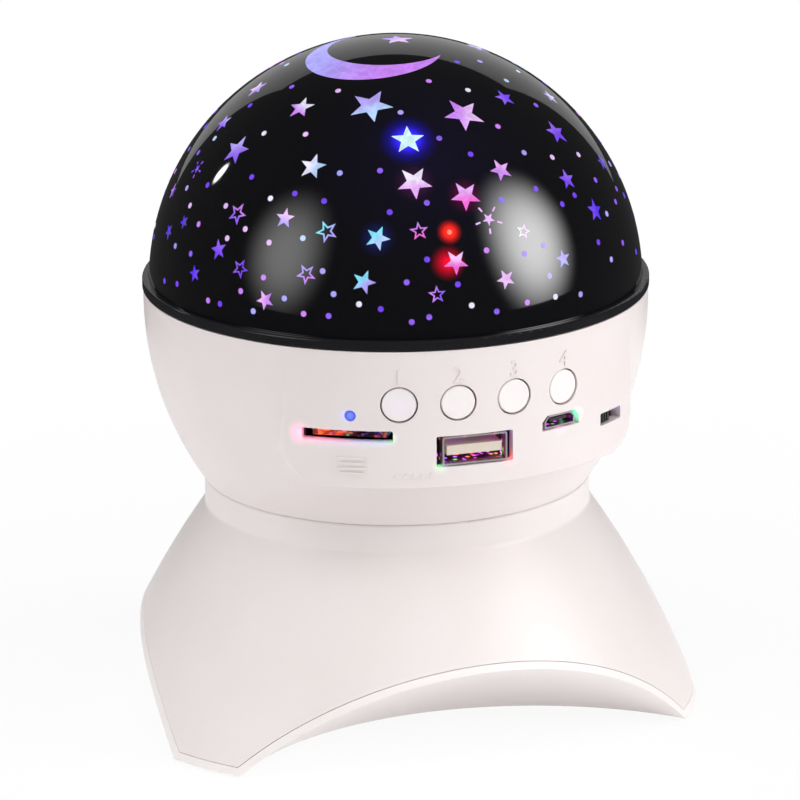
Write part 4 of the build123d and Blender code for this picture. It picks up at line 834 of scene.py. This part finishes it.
def add_rays(mesh, size, turn):
    """A dash out from each point of a small star."""
    for ray in range(STAR_POINTS):
        dash = bmesh.ops.create_grid(mesh, x_segments=2, y_segments=1, size=0.5)["verts"]
        bmesh.ops.scale(mesh, vec=(size * RAY_LENGTH, RAY_WIDTH, 1), verts=dash)
        bmesh.ops.translate(mesh, vec=(size * RAY_MIDDLE, 0, 0), verts=dash)
        spin = Matrix.Rotation(math.radians(turn + 72 * ray), 3, "Z")
        bmesh.ops.rotate(mesh, cent=(0, 0, 0), matrix=spin, verts=dash)


def close_windows(mesh):
    """Gives the windows their thickness, down into the film, and keeps their edges crisp."""
    bmesh.ops.solidify(mesh, geom=mesh.faces[:], thickness=WINDOW_THICKNESS * MM)
    bmesh.ops.recalc_face_normals(mesh, faces=mesh.faces[:])
    for edge in mesh.edges:
        edge.smooth = len(edge.link_faces) == 2 and edge.calc_face_angle(0) < 0.6
    for face in mesh.faces:
        face.smooth = True


stars = new_window()
for angle, elevation, size, turn, kind, first, second, toward in STARS:
    mesh = new_window()
    flat_star(mesh, size * RAYED_STAR if kind == "rays" else size, turn)
    if kind == "outline":
        middle = mesh.faces[:]
        bmesh.ops.inset_region(
            mesh, faces=middle, thickness=size * OUTLINE_WIDTH, use_boundary=True, use_even_offset=True
        )
        bmesh.ops.delete(mesh, geom=middle, context="FACES")
    cuts = 2 if kind == "full" else 1
    bmesh.ops.subdivide_edges(mesh, edges=mesh.edges[:], cuts=cuts, use_grid_fill=True)
    if kind == "rays":
        add_rays(mesh, size, turn)
    add_window(stars, mesh, angle, elevation, (first, second), toward, size)
close_windows(stars)


def window_light(name):
    """The lamps' light behind a window, under the film's polished skin."""
    made, tree, shader, place = new_finish(
        name, Base_Color=(0.01, 0.01, 0.012, 1), IOR=PLASTIC_IOR, Emission_Strength=1.0
    )
    tint = wire(tree, "ShaderNodeAttribute", attribute_name="tint").outputs["Color"]
    inputs = {"Vector": place, "Scale": 420.0, "Detail": 3.0, "Distortion": 1.2}
    mottle = wire(tree, "ShaderNodeTexNoise", inputs).outputs["Fac"]
    bright = wire(tree, "ShaderNodeMapRange", {0: mottle, 1: 0.35, 2: 0.7, 3: 0.82, 4: 1.12})
    light = wire(tree, "ShaderNodeVectorMath", {0: tint, "Scale": bright.outputs[0]}, operation="SCALE")
    tree.links.new(light.outputs[0], shader.inputs["Emission Color"])
    vary_gloss(tree, shader, mottle, 0.05, 0.09)
    return made


star_windows = piece("star_windows", stars, window_light("star_light"), "dome")

# ---------------------------------------------------------------- crescent window
# A large crescent round the top of the dome, open towards the back, that runs from blue violet
# to orchid. Its outline is one circle less a smaller one.
MOON_ANGLE, MOON_ELEVATION = -64.0, 82.9
MOON_RADIUS = 13.9
BITE_RADIUS, BITE_SHIFT = 12.2, 4.4
MOON_TINTS, MOON_TOWARD, MOON_LENGTH = ("periwinkle", "orchid"), 15, 26.0
mesh = new_window()
bmesh.ops.create_grid(mesh, x_segments=56, y_segments=5, size=0.5)
horn_height = (MOON_RADIUS**2 - BITE_RADIUS**2 + BITE_SHIFT**2) / (2 * BITE_SHIFT)
horn_side = math.sqrt(MOON_RADIUS**2 - horn_height**2)
outer_turn = math.atan2(horn_side, -horn_height)
inner_turn = math.atan2(horn_side, BITE_SHIFT - horn_height)
for point in mesh.verts:
    along, across = 2 * point.co.x, point.co.y + 0.5
    outer = direction(math.degrees(along * outer_turn), 0) * MOON_RADIUS
    inner = direction(math.degrees(along * inner_turn), 0) * BITE_RADIUS
    point.co = outer.lerp(inner + Vector((0, BITE_SHIFT, 0)), across)
bmesh.ops.remove_doubles(mesh, verts=mesh.verts, dist=0.01)
moon = new_window()
add_window(moon, mesh, MOON_ANGLE, MOON_ELEVATION, MOON_TINTS, MOON_TOWARD, MOON_LENGTH)
close_windows(moon)
moon_window = piece("crescent_window", moon, window_light("crescent_light"), "dome")

# ---------------------------------------------------------------- dot windows
# Small round windows scattered between the stars all round the dome.
FRONT_DOTS = [
    (34, 72), (53, 69), (0, 67), (47, 61), (-78, 61), (18, 62), (-50, 63), (46, 52), (-90, 52), (-18, 57), (19, 50),
    (-70, 47), (-53, 49), (-5, 49), (-93, 41), (23, 42), (4, 44), (46, 37), (-97, 36), (33, 39), (-25, 41),
    (-37, 40), (-65, 36), (47, 30), (-81, 31), (-91, 28), (21, 33), (-49, 34), (34, 29), (-56, 32), (9, 32),
    (-40, 33), (-12, 33), (53, 23), (-70, 28), (-85, 25), (28, 28), (-22, 31), (45, 22), (-78, 22), (-61, 24),
    (-44, 24), (-66, 21), (37, 17), (-53, 22), (18, 20), (-86, 15), (49, 14), (2, 21), (-78, 15), (12, 19),
    (-13, 20), (41, 12), (-38, 17), (-53, 14), (18, 13), (-89, 6), (-82, 7), (-18, 15), (-6, 14), (-59, 10),
    (27, 7), (-35, 12), (-69, 6), (-47, 10), (19, 8), (11, 8), (-65, 6), (-29, 10), (-3, 9), (-24, 9), (3, 7),
    (-55, 6), (-13, 7), (-42, 7), (-36, 7), (-17, 6),
]  # fmt: skip
DOT_TINTS = ["violet", "lavender", "deep", "blush", "periwinkle", "orchid", "violet", "white", "ice", "deep"]
shuffled = random.Random(5)
dots = [(angle, elevation, 0.58, shuffled.choice(DOT_TINTS)) for angle, elevation in FRONT_DOTS]
dots.append((-6.9, 25.9, 0.5, "red"))
taken = [(direction(star[0], star[1]), star[2] + 1.6) for star in STARS]
taken += [(direction(angle, elevation), 2.6) for angle, elevation, size, tint in dots]
while len(dots) < 155:
    angle = shuffled.uniform(58, 255)
    elevation = math.degrees(math.asin(shuffled.uniform(0.07, 0.94)))
    way = direction(angle, elevation)
    if all((way - other).length * DOME_RADIUS > room for other, room in taken):
        dots.append((angle, elevation, shuffled.uniform(0.5, 0.68), shuffled.choice(DOT_TINTS)))
        taken.append((way, 2.9))
dot_sheet = new_window()
for angle, elevation, size, tint in dots:
    mesh = new_window()
    bmesh.ops.create_circle(mesh, cap_ends=True, segments=14, radius=size)
    add_window(dot_sheet, mesh, angle, elevation, (tint, tint), 0, size)
close_windows(dot_sheet)
dot_windows = piece("dot_windows", dot_sheet, window_light("dot_light"), "dome")
